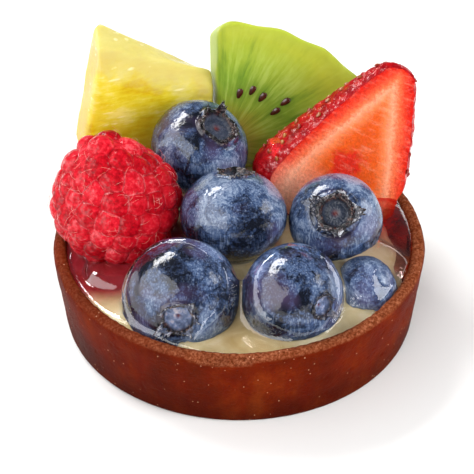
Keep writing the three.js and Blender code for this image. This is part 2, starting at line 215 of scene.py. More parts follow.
def piece(name, points, faces, materials, numbers=None, slots=None):
    """Closed mesh object from points in millimetres, turned to face outwards."""
    points = np.asarray(points, float).reshape(-1, 3)
    corners = np.array([f[:3] for f in faces] + [(f[0], f[2], f[3]) for f in faces if len(f) == 4])
    a, b, c = (points[corners[:, k]] for k in range(3))
    if np.einsum("ij,ij->", a, np.cross(b, c)) < 0:
        faces = [f[::-1] for f in faces]
    mesh = bpy.data.meshes.new(name)
    mesh.from_pydata((points * MM).tolist(), [], faces)
    for material in materials:
        mesh.materials.append(material)
    if slots is not None:
        mesh.polygons.foreach_set("material_index", slots)
    mesh.shade_smooth()
    for key, values in (numbers or {}).items():
        values = np.asarray(values, np.float32)
        kind = "FLOAT_VECTOR" if values.ndim > 1 and values.shape[-1] == 3 else "FLOAT"
        place = mesh.attributes.new(key, kind, "POINT")
        place.data.foreach_set("vector" if kind == "FLOAT_VECTOR" else "value", values.ravel())
    made = bpy.data.objects.new(name, mesh)
    bpy.context.scene.collection.objects.link(made)
    return made


def worn_path(corners, cuts, spacing):
    """Rounds a polyline by cutting its corners, then steps along it by a local spacing."""
    path = np.array(corners, float)
    for _ in range(cuts):
        a, b = path[:-1], path[1:]
        inner = np.stack([a * 0.75 + b * 0.25, a * 0.25 + b * 0.75], 1).reshape(-1, 2)
        path = np.vstack([path[:1], inner, path[-1:]])
    length = np.hypot(*np.diff(path, axis=0).T)
    fine = np.linspace(0, length.sum(), 4000)
    run = np.concatenate([[0], np.cumsum(length)])
    r, z = np.interp(fine, run, path[:, 0]), np.interp(fine, run, path[:, 1])
    count = np.concatenate([[0], np.cumsum(np.diff(fine) / spacing(r[1:], z[1:]))])
    at = np.linspace(0, count[-1], int(count[-1]) + 1)
    return np.interp(at, count, r), np.interp(at, count, z)


def chip_at(degrees):
    """Where the front shoulder of the rim has broken away."""
    opens, full, closes, closed = CHIP_ANGLES
    inside = smooth(opens, full, degrees) * (1 - smooth(closes, closed, degrees))
    return inside * (0.85 + 0.2 * np.sin(degrees * 0.5) + 0.12 * np.sin(degrees * 1.3 + 1))


def shell_points():
    corners = [
        (0, 0), (BASE_RADIUS - 0.7, 0), (BASE_RADIUS - 0.2, 0.2), (BASE_RADIUS, 0.75),
        (BASE_RADIUS + 0.55, 5.2), (BASE_RADIUS + 1.15, 10.2), (RIM_RADIUS, SHELL_HEIGHT - 1.1),
        (RIM_RADIUS - 0.3, SHELL_HEIGHT - 0.35), (RIM_RADIUS - 0.95, SHELL_HEIGHT),
        (INNER + 0.6, SHELL_HEIGHT - 0.03), (INNER + 0.12, SHELL_HEIGHT - 0.45),
        (INNER, SHELL_HEIGHT - 1.3), (INNER - 0.35, 9.0), (INNER - 0.9, FLOOR + 0.9),
        (INNER - 1.6, FLOOR), (0, FLOOR)]

    def spacing(r, z):
        hidden = (r < INNER + 0.3) & (z < SHELL_HEIGHT - 3.5) | (r < BASE_RADIUS - 1)
        seen = np.where(z > SHELL_HEIGHT - 1.6, RIM_STEP, WALL_STEP)
        return np.where(hidden, HIDDEN_STEP, seen)

    r, z = worn_path(corners, 2, spacing)
    r, z = r[1:-1, None], z[1:-1, None]
    out = np.stack([np.gradient(z[:, 0]), -np.gradient(r[:, 0])], 1)
    out /= np.linalg.norm(out, axis=1, keepdims=True)
    angle = np.linspace(0, 2 * np.pi, SHELL_AROUND, endpoint=False)[None, :]
    height = z / SHELL_HEIGHT
    wall = smooth(0.05, 0.3, height) * smooth(20, 29, r)
    outer = smooth(INNER + 0.8, RIM_RADIUS - 0.8, r)
    high = smooth(SHELL_HEIGHT - 2, SHELL_HEIGHT - 0.6, z)
    degrees = np.degrees(np.arctan2(np.sin(angle), np.cos(angle)))
    chip = chip_at(degrees) * outer * high
    wave = WALL_WAVE * ripple(2 * np.cos(angle), 2 * np.sin(angle), height * 2) * wall
    crumb = WALL_CRUMB * ripple(9 * np.cos(angle), 9 * np.sin(angle), height * 5) * wall * outer
    rise = RIM_WAVE * ripple(3 * np.cos(angle), 3 * np.sin(angle), 1.4) * smooth(0.85, 1, height)
    radius = r + wave + crumb - CHIP_INWARD * chip
    tall = z + rise - CHIP_DOWN * chip
    points = np.stack([radius * np.cos(angle), radius * np.sin(angle), tall + 0 * angle], -1)
    # Crumb: the cut rim is open and rough, the pressed wall only has pores and soft dents.
    rim = smooth(SHELL_HEIGHT - 1.0, SHELL_HEIGHT - 0.3, z) + 0 * angle
    torn = np.clip(chip_at(degrees) * high * outer * 1.6, 0, 1)
    loose = np.clip(rim + torn, 0, 1)
    pores = smooth(0.42, 0.62, grain(points, 0.75, 9.1))
    lumps = 0.10 * grain(points, 0.9, 3.3) + 0.07 * grain(points, 0.42, 7.7)
    dents = 0.05 * grain(points, 3.4, 1.7) + 0.018 * grain(points, 0.8, 5.2)
    push = loose * (1.25 * lumps - 0.16 * pores) + (1 - loose) * (dents - 0.1 * pores * wall)
    push += torn * 0.22 * grain(points, 1.3, 12.4)
    push *= smooth(0.0, 0.06, height)
    turned = np.stack([out[:, :1] * np.cos(angle), out[:, :1] * np.sin(angle),
                       out[:, 1:] + 0 * angle], -1)
    points = points + turned * push[..., None]
    points[..., 2] = np.maximum(points[..., 2], 0)
    return points, loose


def chocolate_shortcrust():
    """Baked cocoa dough: dull red-brown with a fine mottled crumb, pores darkened with painted
    shade, pale specks of flour and sugar, and a paler, pinkish, open crumb where the rim was cut.
    Long lighter stripes down the wall are a painted sheen."""
    made, tree, place = empty_material("baked chocolate shortcrust")
    loose = add(tree, "Attribute", attribute_name="loose").outputs["Fac"]
    patches = add(tree, "TexNoise", {
        "Vector": place, "Scale": 1 / (9 * MM), "Detail": 4, "Roughness": 0.6})
    body = add(tree, "ValToRGB", {"Fac": patches}, stops=[
        (0.30, "511904"), (0.52, "642107"), (0.72, "7c3510")])
    # Painted sheen: long, lighter vertical stripes stand for the satin shine of the wall.
    drawn = add(tree, "Mapping", {"Vector": place, "Scale": (1, 1, 0.12)})
    sheen_streaks = add(tree, "TexNoise", {
        "Vector": drawn, "Scale": 1 / (1.6 * MM), "Detail": 3, "Roughness": 0.6})
    streaked = add(tree, "Mix", {
        0: sheen_streaks, 6: body, 7: "a85c30"}, data_type="RGBA", blend_type="SOFT_LIGHT")
    mottle = add(tree, "TexNoise", {
        "Vector": place, "Scale": 1 / (0.45 * MM), "Detail": 5, "Roughness": 0.7})
    mottled = add(tree, "MapRange", {
        "Value": mottle, "From Min": 0.3, "From Max": 0.7, "To Min": 0.86, "To Max": 1.16})
    crumb = add(tree, "VectorMath", {0: streaked, 1: mottled}, operation="MULTIPLY")
    # Painted shade: the wall is darkened towards its foot, where it meets the table.
    up = add(tree, "SeparateXYZ", {0: place})
    foot = add(tree, "MapRange", {
        "Value": up.outputs["Z"], "From Max": 10 * MM, "To Min": 0.5}, **EASED)
    darker = add(tree, "VectorMath", {0: crumb, 1: foot}, operation="MULTIPLY")
    rim_grain = add(tree, "TexNoise", {
        "Vector": place, "Scale": 1 / (0.5 * MM), "Detail": 6, "Roughness": 0.75})
    rim_tint = add(tree, "ValToRGB", {"Fac": rim_grain}, stops=[
        (0.34, "4e1f0e"), (0.48, "74371d"), (0.62, "9c5e40")])
    # On the left the rim was baked darker.
    leftward = add(tree, "MapRange", {
        "Value": up.outputs["X"], "From Min": -27 * MM, "From Max": -4 * MM, "To Min": 0.3},
        **EASED)
    rim_share = add(tree, "Math", {0: loose, 1: leftward}, operation="MULTIPLY")
    with_rim = add(tree, "Mix", {0: rim_share, 6: darker, 7: rim_tint}, data_type="RGBA")
    specks = add(tree, "TexVoronoi", {"Vector": place, "Scale": 1 / (1.5 * MM)})
    speck = add(tree, "MapRange", {
        "Value": specks, "From Min": 0.055, "From Max": 0.085, "To Min": 0.75, "To Max": 0})
    pale = add(tree, "Mix", {0: speck, 6: with_rim, 7: "d9a884"}, data_type="RGBA")
    # Painted shade: the small pores are darker inside, where light hardly reaches.
    holes = add(tree, "TexVoronoi", {"Vector": place, "Scale": 1 / (1.1 * MM)})
    hole = add(tree, "MapRange", {
        "Value": holes, "From Min": 0.06, "From Max": 0.13, "To Min": 0.7, "To Max": 0})
    pored = add(tree, "Mix", {0: hole, 6: pale, 7: "3a150c"}, data_type="RGBA")
    relief = add(tree, "Math", {0: mottle, 1: hole}, operation="SUBTRACT")
    bump = add(tree, "Bump", {"Height": relief, "Strength": 0.7, "Distance": 0.18 * MM})
    dull = add(tree, "MapRange", {
        "Value": patches, "From Min": 0.3, "From Max": 0.7, "To Min": 0.42, "To Max": 0.62})
    shader = add(tree, "BsdfPrincipled", {
        "Base Color": pored, "Roughness": dull, "Specular IOR Level": 0.02, "Normal": bump})
    add(tree, "OutputMaterial", {"Surface": shader})
    return made


shell_grid, shell_loose = shell_points()
poles = np.array([[0, 0, 0], [0, 0, FLOOR]])
shell = piece(
    "shell_crust", np.vstack([shell_grid.reshape(-1, 3), poles]),
    tube_faces(*shell_grid.shape[:2]), [chocolate_shortcrust()],
    {"loose": np.append(shell_loose.ravel(), [0, 0])})
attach(shell, "root")
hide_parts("shell")

# ---- cream ----
# Pastry cream spooned into the baked case. It heaps up a little behind the middle berry, falls
# short of the wall on the right, and is pressed down by each piece of fruit that sits in it.
CREAM_EDGE_HEIGHT = 12.9
CREAM_RISE = 1.8
CREAM_GAP = 0.1
# The heap: its middle, its height and how wide it spreads.
CREAM_HEAP_AT = (-5, 13)
CREAM_HEAP, CREAM_HEAP_SPREAD = 1.7, 70
# The bare stretch of wall on the right: its direction, and how far the cream drops and draws in.
BARE_ANGLE = 0.1
BARE_DROP, BARE_INWARD = 4.6, 1.0
# How far the fruit's underside stays buried in the cream that it presses down.
SUNK = 0.35
CREAM_AROUND = 300


def cream_mound(x, y):
    """Height of the cream before the fruit is pressed in."""
    edge = INNER - CREAM_GAP
    mound = CREAM_EDGE_HEIGHT + CREAM_RISE * (1 - np.hypot(x, y) ** 2 / edge ** 2)
    stir = 0.3 * ripple(x * 0.16, y * 0.16, 2.2)
    off = (x - CREAM_HEAP_AT[0]) ** 2 + (y - CREAM_HEAP_AT[1]) ** 2
    return mound + stir + CREAM_HEAP * np.exp(-off / CREAM_HEAP_SPREAD)


def fruit_undersides():
    """Ray targets for every piece of fruit in the frame, to press it into the cream."""
    targets = []
    for node_name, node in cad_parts.items():
        if node_name not in ("shell", "cream"):
            corners = [v.co.copy() for v in node.data.vertices]
            targets.append(BVHTree.FromPolygons(corners, [p.vertices for p in node.data.polygons]))
    return targets


def cream_points():
    edge = INNER - CREAM_GAP
    foot = FLOOR + 0.15
    wall_r = np.array([edge - 1.6, edge - 0.9, edge - 0.5, edge - 0.35, edge - 0.1, edge - 0.05])
    wall_z = np.array([foot, foot + 0.9, 6.0, 9.0, 11.0, 12.0])
    top_r = np.append([edge - 0.1, edge - 0.3, edge - 0.6], np.arange(edge - 0.95, 0.3, -0.42))
    r = np.concatenate([[edge * 0.5], wall_r, top_r])
    z = np.concatenate([[foot], wall_z, np.full(len(top_r), 13.0)])
    top = np.arange(len(r)) > len(wall_r)
    angle = np.linspace(0, 2 * np.pi, CREAM_AROUND, endpoint=False)[None, :]
    signed = np.arctan2(np.sin(angle), np.cos(angle))
    bare = 1 - smooth(0.26, 0.46, np.abs(signed - BARE_ANGLE))
    drop = bare * smooth(edge - 5.0, edge - 1, r)[:, None] * smooth(6, 12.5, z)[:, None]
    radius = r[:, None] - BARE_INWARD * drop
    x, y = radius * np.cos(angle), radius * np.sin(angle)
    level = cream_mound(x, y) - BARE_DROP * drop
    level -= 0.35 * (1 - smooth(0, 0.5, edge - r))[:, None]
    height = np.where(top[:, None], level, z[:, None] + 0 * x)
    targets = fruit_undersides()
    for i, j in zip(*np.nonzero(np.broadcast_to(top[:, None], x.shape))):
        start = Vector((x[i, j] * MM, y[i, j] * MM, 0))
        for target in targets:
            hit = target.ray_cast(start, Vector((0, 0, 1)))
            if hit[0] is not None:
                height[i, j] = min(height[i, j], hit[0].z / MM + SUNK)
    points = np.stack([x, y, height], -1)
    swirl = 0.10 * grain(points, 3.1, 2.0) + 0.05 * grain(points, 1.1, 6.0)
    points[..., 2] += np.where(top[:, None], swirl, 0)
    middle = points[-1].mean(0)
    return points, np.array([[0, 0, foot], middle])


def pastry_cream():
    """Cooked custard of milk, yolk and starch: smooth, moist and slightly translucent, so light
    softens in it; a trace of skin and small air bubbles roughen its surface."""
    made, tree, place = empty_material("cooked pastry cream")
    fold = add(tree, "TexNoise", {
        "Vector": place, "Scale": 1 / (4 * MM), "Detail": 4, "Distortion": 0.8})
    tint = add(tree, "ValToRGB", {"Fac": fold}, stops=[
        (0.3, "b8a67b"), (0.55, "c6b793"), (0.75, "d0c5aa")])
    fine = add(tree, "TexNoise", {"Vector": place, "Scale": 1 / (0.5 * MM), "Detail": 3})
    bump = add(tree, "Bump", {"Height": fine, "Strength": 0.3, "Distance": 0.1 * MM})
    shader = add(tree, "BsdfPrincipled", {
        "Base Color": tint, "Roughness": 0.38, "Subsurface Weight": 0.35,
        "Subsurface Radius": (1, 0.75, 0.45), "Subsurface Scale": 1.6 * MM,
        "Specular IOR Level": 0.1, "Normal": bump})
    add(tree, "OutputMaterial", {"Surface": shader})
    return made


cream_grid, cream_poles = cream_points()
cream = piece("pastry_cream", np.vstack([cream_grid.reshape(-1, 3), cream_poles]),
              tube_faces(*cream_grid.shape[:2]), [pastry_cream()])
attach(cream, "root")
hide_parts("cream")

# ---- blueberries ----
# Six whole blueberries set in the cream at all angles. Each is a slightly flattened ball of navy
# skin under waxy bloom, with the ragged remains of five sepals round the scar of its flower.
# For each: its middle, its radius across (r) and along its axis (c), the share of r that its crown
# takes, its bloom, how pale the crown's floor and petals are and how silvery its torn edges, how
# tall the sepals stand and by how many degrees they fall, the share of the crown that is hollow,
# the gel film that it leaves room for, and where the skin is darker, partly where the bloom is
# worn off and partly as painted shade on the sides and underside: towards, how much, how wide.
BERRIES = {
    "blueberry_front_left": {
        "at": (-9.85, -18.8, 17.95), "r": 9.65, "c": 8.5, "axis": (-0.04, -0.985, 0.16),
        "crown": 0.32, "bloom": 0.63, "calyx": (0.9, 0.4, 0.7), "tall": 1.5, "fall": 50,
        "hollow": 0.6, "film": 0.25,
        "rubbed_and_shaded": [((-0.2, 0.25, 0.95), 0.45, 0.86), ((-0.95, -0.1, 0.3), 0.4, 0.84),
                   ((0.95, -0.1, 0.2), 0.3, 0.86), ((0.0, -0.72, 0.7), 0.35, 0.95),
                   ((-0.3, -0.93, -0.12), 0.8, 0.985)]},
    "blueberry_front_middle": {
        "at": (8.85, -18.5, 17.6), "r": 8.55, "c": 7.9, "axis": (0.69, -0.68, 0.26),
        "crown": 0.26, "bloom": 0.63, "calyx": (1.0, 0.3, 0.6), "tall": 1.3, "fall": 40,
        "hollow": 0.66, "film": 0.25,
        "rubbed_and_shaded": [((0.3, 0.3, 0.9), 0.3, 0.85), ((-0.97, -0.2, 0.1), 0.4, 0.85),
                   ((-0.1, -0.74, 0.66), 0.35, 0.95), ((0.1, -0.95, 0.1), 0.25, 0.85)]},
    "blueberry_right": {
        "at": (16.6, -2.8, 21.6), "r": 8.15, "c": 7.2, "axis": (-0.05, -0.66, 0.74),
        "crown": 0.45, "bloom": 0.80, "calyx": (0.0, 0.1, 1.0), "tall": 1.3, "fall": 66,
        "hollow": 0.48,
        "rubbed_and_shaded": [((-0.1, -0.8, -0.75), 0.6, 0.84), ((0.1, -0.94, 0.30), 0.7, 0.985),
                   ((0.85, -0.5, -0.3), 0.5, 0.93), ((-0.9, 0.2, 0.5), 0.2, 0.8)]},
    "blueberry_centre": {
        "at": (-1.0, -2.8, 22.6), "r": 9.4, "c": 7.9, "axis": (0.04, 0.42, 0.91),
        "crown": 0.34, "bloom": 0.80, "calyx": (0.1, 0.0, 0.6), "tall": 0.6, "fall": 65,
        "hollow": 0.6,
        "rubbed_and_shaded": [((0.28, -0.72, 0.62), 0.5, 0.96), ((-0.97, -0.2, 0.2), 0.3, 0.82),
                   ((0.5, -0.85, -0.2), 0.35, 0.80), ((-0.3, -0.9, -0.35), 0.4, 0.8)]},
    "blueberry_back": {
        "at": (-7.0, 14.3, 24.2), "r": 8.9, "c": 8.0, "axis": (0.46, -0.26, 0.85),
        "crown": 0.42, "bloom": 0.70, "calyx": (0.08, 0.0, 0.5), "tall": 1.25, "fall": 20,
        "hollow": 0.55,
        "rubbed_and_shaded": [((-0.12, -0.55, 0.83), 0.55, 0.92), ((-0.95, 0.1, 0.3), 0.4, 0.82),
                   ((-0.2, -0.9, 0.1), 0.3, 0.93)]},
    "blueberry_small": {
        "at": (21.6, -12.55, 14.4), "r": 4.85, "c": 4.4, "axis": (0.32, 0.71, -0.62),
        "crown": 0.4, "bloom": 0.8, "calyx": (0.3, 0.3, 0.5), "tall": 0.8, "fall": 30,
        "hollow": 0.6,
        "rubbed_and_shaded": [((-0.4, -0.4, 0.8), 0.3, 0.9)]},
}
BERRY_AROUND = 216
# A berry below this radius gets a coarser mesh; the crown's sizes are those of a 9 mm berry.
SMALL_BERRY, SMALL_AROUND = 6, 120
USUAL_RADIUS = 9
CROWN_LOBES = 5
# Shares of the crown's radius: the outer edge of its moat, and the foot of the sepals.
CROWN_EDGE, SEPAL_FOOT = 1.12, 0.88
SEPAL_AROUND = 260
SEPAL_ROWS = 9
SEPAL_LENGTH = 2.3
SEPAL_THICK = 0.2


def turn_up(axis):
    """Matrix that turns +Z to the given direction."""
    return np.array(Vector((0, 0, 1)).rotation_difference(Vector(axis)).to_matrix())


def ring_faces(rows, around):
    """Quads of a closed loop of rings, the last joined to the first."""
    i, j = np.meshgrid(np.arange(rows), np.arange(around), indexing="ij")
    above, beside = (i + 1) % rows, (j + 1) % around
    return np.stack([i * around + j, above * around + j, above * around + beside,
                     i * around + beside], -1).reshape(-1, 4).tolist()


def calyx_lobes(number, angle):
    """The five sepals round the crown: where each stands, how large it is, and its torn edge."""
    wobble = 0.24 * np.sin(angle + number) + 0.17 * np.sin(2 * angle + 2.1 * number)
    lobe = 0.5 + 0.5 * np.cos(CROWN_LOBES * (angle + wobble))
    uneven = 0.75 + 0.25 * np.sin(2 * angle + 1.3 * number)
    ragged = 0.5 + 0.5 * np.sin(11 * angle + 3 * number + 2.5 * np.sin(4 * angle + number))
    return lobe, uneven, ragged


def sepal_points(number, berry):
    """Thin ragged ribbon of dried sepals round the crown, in the berry's own upright frame."""
    r, c, rim = berry["r"], berry["c"], berry["crown"] * berry["r"]
    size = r / USUAL_RADIUS
    angle = np.linspace(0, 2 * np.pi, SEPAL_AROUND, endpoint=False)[None, :]
    lobe, uneven, ragged = calyx_lobes(number, angle)
    ring = np.stack([np.cos(angle), np.sin(angle), 0 * angle], -1)
    teeth = np.abs(grain(ring * 6 + 3.1 * number, 1.0)) + 0.6 * np.abs(
        grain(ring * 14 + 1.7 * number, 1.0))
    tall = size * berry["tall"] * (0.25 + SEPAL_LENGTH * lobe ** 1.3 * uneven * (
        0.75 + 0.25 * ragged)) * (1 - np.clip(1.1 * teeth, 0, 0.6))
    fall = np.radians(berry["fall"] * (0.25 + lobe * uneven) + 40 * grain(
        ring * 1.7 + number, 1.0))
    share = np.linspace(0, 1, SEPAL_ROWS)[:, None]
    bend = fall * (0.5 + 0.9 * share)
    step = tall / (SEPAL_ROWS - 1)
    out = np.cumsum(step * np.sin(bend), 0)
    up = np.cumsum(step * np.cos(bend), 0)
    crumple = 0.16 * size * share * grain(
        np.stack([ring[..., 0] * 7 + 0 * share, ring[..., 1] * 7 + 0 * share,
                  2 * share + 0 * angle], -1) + number, 1.0)
    base = c * math.sqrt(1 - (SEPAL_FOOT * rim / r) ** 2) - 0.35 * size
    half = SEPAL_THICK * size * (1 - 0.65 * share) / 2
    sheets = []
    for side in (1, -1):
        radius = SEPAL_FOOT * rim + out + crumple + side * half * np.cos(bend)
        height = base + up - side * half * np.sin(bend)
        sheets.append(np.stack([radius * np.cos(angle), radius * np.sin(angle),
                                height + 0 * angle], -1))
    rows = np.concatenate([sheets[0], sheets[1][::-1]])
    along = np.concatenate([share, share[::-1]]) + 0 * angle
    return rows, along


def berry_points(number, berry):
    r, c = berry["r"], berry["c"]
    large = r > SMALL_BERRY
    around = BERRY_AROUND if large else SMALL_AROUND
    body = np.radians(np.linspace(-88.5, 58, 80 if large else 56))
    rim = berry["crown"] * r
    start = r * math.cos(body[-1]) / rim
    share = np.append(np.linspace(start, CROWN_EDGE, 12)[1:],
                      np.linspace(CROWN_EDGE, 0.02, 70)[1:])
    reach = np.concatenate([r * np.cos(body), rim * share])[:, None]
    ball = np.concatenate([c * np.sin(body), c * np.sqrt(1 - (rim * share / r) ** 2)])[:, None]
    u = np.concatenate([np.full(len(body), 9.0), share])[:, None]
    angle = np.linspace(0, 2 * np.pi, around, endpoint=False)[None, :]
    # Sepals: five ragged flaps, no two alike, that stand or lean out round the sunk disc.
    lobe, uneven, ragged = calyx_lobes(number, angle)
    flap = lobe ** 1.2 * uneven * (0.7 + 0.3 * ragged)
    crest = 0.78 + 0.16 * lobe + 0.04 * ragged
    ridge = np.exp(-((u - crest) / np.where(u > crest, 0.15, 0.06)) ** 2)
    sink = berry["hollow"]
    hollow = 1 - smooth(sink + 0.05 * lobe, sink + 0.24 + 0.06 * lobe, u)
    scar = np.exp(-(u / 0.12) ** 2) - 0.5 * np.exp(-((u - 0.26) / 0.09) ** 2)
    pleats = 0.05 * np.cos(CROWN_LOBES * 4 * angle + number) * smooth(0.2, 0.5, u) * hollow
    size = r / USUAL_RADIUS
    moat = np.exp(-((u - 1.14) / 0.07) ** 2)
    height = ball + size * (0.35 * ridge * (0.12 + 0.88 * flap) - 1.35 * hollow
                            - 0.3 * scar * hollow + pleats - 0.12 * moat)
    spread = reach * (1 + 0.14 * np.exp(-((u - 0.94) / 0.17) ** 2) * (lobe - 0.5))
    x, y = spread * np.cos(angle), spread * np.sin(angle)
    swell = 1 + 0.014 * ripple(x / r * 2, y / r * 2, height / r * 2 + berry["at"][0]) - 0.007
    local = np.stack([x * swell, y * swell, height * swell], -1)
    near = np.exp(-((u - 0.9) / 0.15) ** 2) + (0.6 - 0.45 * berry["calyx"][0]) * hollow
    coarse = grain(local + 31.0 * number, 0.7 * size)
    fine = grain(local + 13.0 * number, 0.3 * size)
    local[..., 2] += (0.20 * coarse + 0.13 * fine) * size * near
    local[..., :2] *= (1 + 0.06 * near * grain(local + 7.0 * number, 0.5 * size))[..., None]
    dent = grain(local + 17.0 * number, 3.0)
    dents = (0.004 * dent + 0.0012 * grain(local, 0.7)) * (1 - np.minimum(near, 1))
    local *= 1 + dents[..., None]
    edge = ridge * (0.3 + 0.7 * flap)
    crown = np.clip(smooth(1.2, 0.98, u) * flap + smooth(1.02, 0.93, u), 0, 1) + 0 * angle
    floor_pale, petal_pale, silver = berry["calyx"]
    bottom_of_crown = smooth(sink + 0.2, sink + 0.08, u) + 0 * angle
    numbers = {"crown": crown, "floor": bottom_of_crown,
               "edge": 0.5 * np.clip(edge, 0, 1) + 0 * angle,
               "pale": floor_pale * bottom_of_crown, "silver": silver + 0 * edge,
               "scar": np.exp(-(u / 0.13) ** 2) + 0 * angle}
    bottom, top = local[0].mean(0), local[-1].mean(0)
    ribbon, along = sepal_points(number, berry)
    here = {"crown": 1 + 0 * along, "floor": 0 * along, "edge": along,
            "pale": petal_pale * (1 - 0.3 * along), "silver": silver + 0 * along,
            "scar": 0 * along}
    numbers = {key: np.concatenate([value.ravel(), [0, value[-1].mean()], here[key].ravel()])
               for key, value in numbers.items()}
    body_count = local.shape[0] * local.shape[1] + 2
    local = np.vstack([local.reshape(-1, 3), bottom, top, ribbon.reshape(-1, 3)])
    local *= 1 - berry.get("film", 0) / r
    points = local @ turn_up(berry["axis"]).T
    outward = points / np.linalg.norm(points, axis=1, keepdims=True)
    bloom = np.full(len(points), berry["bloom"])
    faces = tube_faces(len(reach), around) + [
        [body_count + i for i in quad] for quad in ring_faces(*ribbon.shape[:2])]
    # Each listed patch thins the bloom to dark skin: worn wax, and on the sides and undersides
    # painted shade.
    for direction, strength, spread in berry["rubbed_and_shaded"]:
        facing = outward @ (np.array(direction) / np.linalg.norm(direction))
        bloom -= strength * smooth(spread - 0.12, spread + 0.08, facing)
    # Painted shade: the skin is darkened in a ring round the crown, in the moat under the sepals.
    moat_shade = np.exp(-((np.linalg.norm(points - points[body_count - 1], axis=1)
                       / (CROWN_EDGE * rim) - 1) / 0.1) ** 2)
    numbers["bloom"] = bloom - 0.35 * moat_shade
    numbers["sunk"] = 0 * bloom
    return points + berry["at"], faces, numbers


def blueberry_skin():
    """Ripe blueberry: almost black navy skin dusted with pale blue wax, worn off in patches
    and cracked into fine veins; on its sides and underside, and in a ring round the crown, the
    skin is darkened with painted shade. Dried sepals are black-brown with silvery edges, and a
    brushed film of clear glaze makes it all shine."""
    made, tree, place = empty_material("bloomed blueberry skin under glaze")
    crown, floor, edge, pale, silver, heart, bloom, sunk = (
        add(tree, "Attribute", attribute_name=key).outputs["Fac"]
        for key in ("crown", "floor", "edge", "pale", "silver", "scar", "bloom", "sunk"))
    broad = add(tree, "TexNoise", {
        "Vector": place, "Scale": 1 / (5 * MM), "Detail": 6, "Roughness": 0.62, "Distortion": 1.1})
    patch = add(tree, "MapRange", {
        "Value": broad, "From Min": 0.40, "From Max": 0.60, "To Min": -0.3, "To Max": 0.2},
        **EASED)
    mottle = add(tree, "TexNoise", {
        "Vector": place, "Scale": 1 / (0.65 * MM), "Detail": 5, "Roughness": 0.72})
    speckle = add(tree, "Math", {0: mottle, 1: 1.3, 2: -0.65}, operation="MULTIPLY_ADD")
    # Cracks in the wax: a net of thin dark lines a millimetre or two apart, only here and there.
    bent = add(tree, "VectorMath", {
        0: mottle.outputs["Color"], 1: (0.9 * MM,) * 3, 2: place}, operation="MULTIPLY_ADD")
    net = add(tree, "TexVoronoi", {
        "Vector": bent, "Scale": 1 / (1.7 * MM)}, feature="DISTANCE_TO_EDGE")
    crack = add(tree, "MapRange", {"Value": net, "From Max": 0.08, "To Min": 0.3, "To Max": 0})
    somewhere = add(tree, "MapRange", {
        "Value": broad.outputs["Color"], "From Min": 0.44, "From Max": 0.56})
    cracked = add(tree, "Math", {0: crack, 1: somewhere}, operation="MULTIPLY")
    first = add(tree, "Math", {0: bloom, 1: patch}, operation="ADD")
    second = add(tree, "Math", {0: first, 1: speckle}, operation="ADD")
    wax = add(tree, "Math", {0: second, 1: cracked}, operation="SUBTRACT", use_clamp=True)
    waxed = add(tree, "ValToRGB", {"Fac": wax}, stops=[
        (0, "0d111c"), (0.22, "1b253c"), (0.5, "344668"), (0.8, "546685"), (1, "7a889f")])
    violet = add(tree, "TexNoise", {"Vector": place, "Scale": 1 / (7 * MM)})
    some = add(tree, "MapRange", {
        "Value": violet, "From Min": 0.52, "From Max": 0.7, "To Max": 0.4})
    tint = add(tree, "Mix", {0: some, 6: waxed, 7: "564468"}, data_type="RGBA")
    # Fine scratches where the wax was brushed: two sets of short pale lines that cross.
    for turn in ((0.6, 0.9, 0.0), (1.2, -0.5, 0.8)):
        brushed = add(tree, "Mapping", {"Vector": place, "Rotation": turn, "Scale": (1, 1, 0.07)})
        lines = add(tree, "TexNoise", {"Vector": brushed, "Scale": 1 / (0.28 * MM)})
        line = add(tree, "MapRange", {
            "Value": lines, "From Min": 0.57, "From Max": 0.66, "To Max": 0.55})
        waxy = add(tree, "Math", {0: line, 1: wax}, operation="MULTIPLY")
        tint = add(tree, "Mix", {0: waxy, 6: tint, 7: "9aa8bf"}, data_type="RGBA")
    # Crown: black-brown and dull red inside, silvery where the dried sepals are torn.
    bits = add(tree, "TexNoise", {
        "Vector": place, "Scale": 1 / (0.75 * MM), "Detail": 4, "Roughness": 0.68})
    husk = add(tree, "ValToRGB", {"Fac": bits}, stops=[
        (0.38, "050508"), (0.5, "101018"), (0.56, "34130e"), (0.64, "5a463d")])
    dark = add(tree, "Mix", {0: floor, 6: husk, 7: "2c3240"}, data_type="RGBA")
    floor_bits = add(tree, "TexNoise", {
        "Vector": place, "Scale": 1 / (1.4 * MM), "Detail": 3, "Roughness": 0.6})
    floor_tint = add(tree, "ValToRGB", {"Fac": floor_bits}, stops=[
        (0.36, "4a5674"), (0.52, "7784a4"), (0.66, "bdb4be")])
    floored = add(tree, "Mix", {0: pale, 6: dark, 7: floor_tint}, data_type="RGBA")
    centre = add(tree, "Math", {0: heart, 1: 0.9}, operation="MULTIPLY")
    scarred = add(tree, "Mix", {0: centre, 6: floored, 7: "5c1a14"}, data_type="RGBA")
    brim = add(tree, "MapRange", {
        "Value": edge, "From Min": 0.72, "From Max": 0.92, "To Max": 0.9})
    burnt = add(tree, "Mix", {0: brim, 6: scarred, 7: "1d100e"}, data_type="RGBA")
    torn = add(tree, "MapRange", {"Value": bits, "From Min": 0.53, "From Max": 0.58})
    torn_edge = add(tree, "Math", {0: torn, 1: edge}, operation="MULTIPLY")
    shiny = add(tree, "Math", {0: torn_edge, 1: silver}, operation="MULTIPLY")
    dried = add(tree, "Mix", {0: shiny, 6: burnt, 7: "c3c8d0"}, data_type="RGBA")
    whole = add(tree, "Mix", {0: crown, 6: tint, 7: dried}, data_type="RGBA")
    rough = add(tree, "MapRange", {"Value": wax, "To Min": 0.35, "To Max": 0.6})
    film = add(tree, "MapRange", {"Value": sunk, "To Min": 1, "To Max": 0})
    bump = add(tree, "Bump", {"Height": wax, "Strength": 0.5, "Distance": 0.1 * MM})
    drips = add(tree, "TexNoise", {"Vector": place, "Scale": 1 / (2 * MM), "Detail": 4})
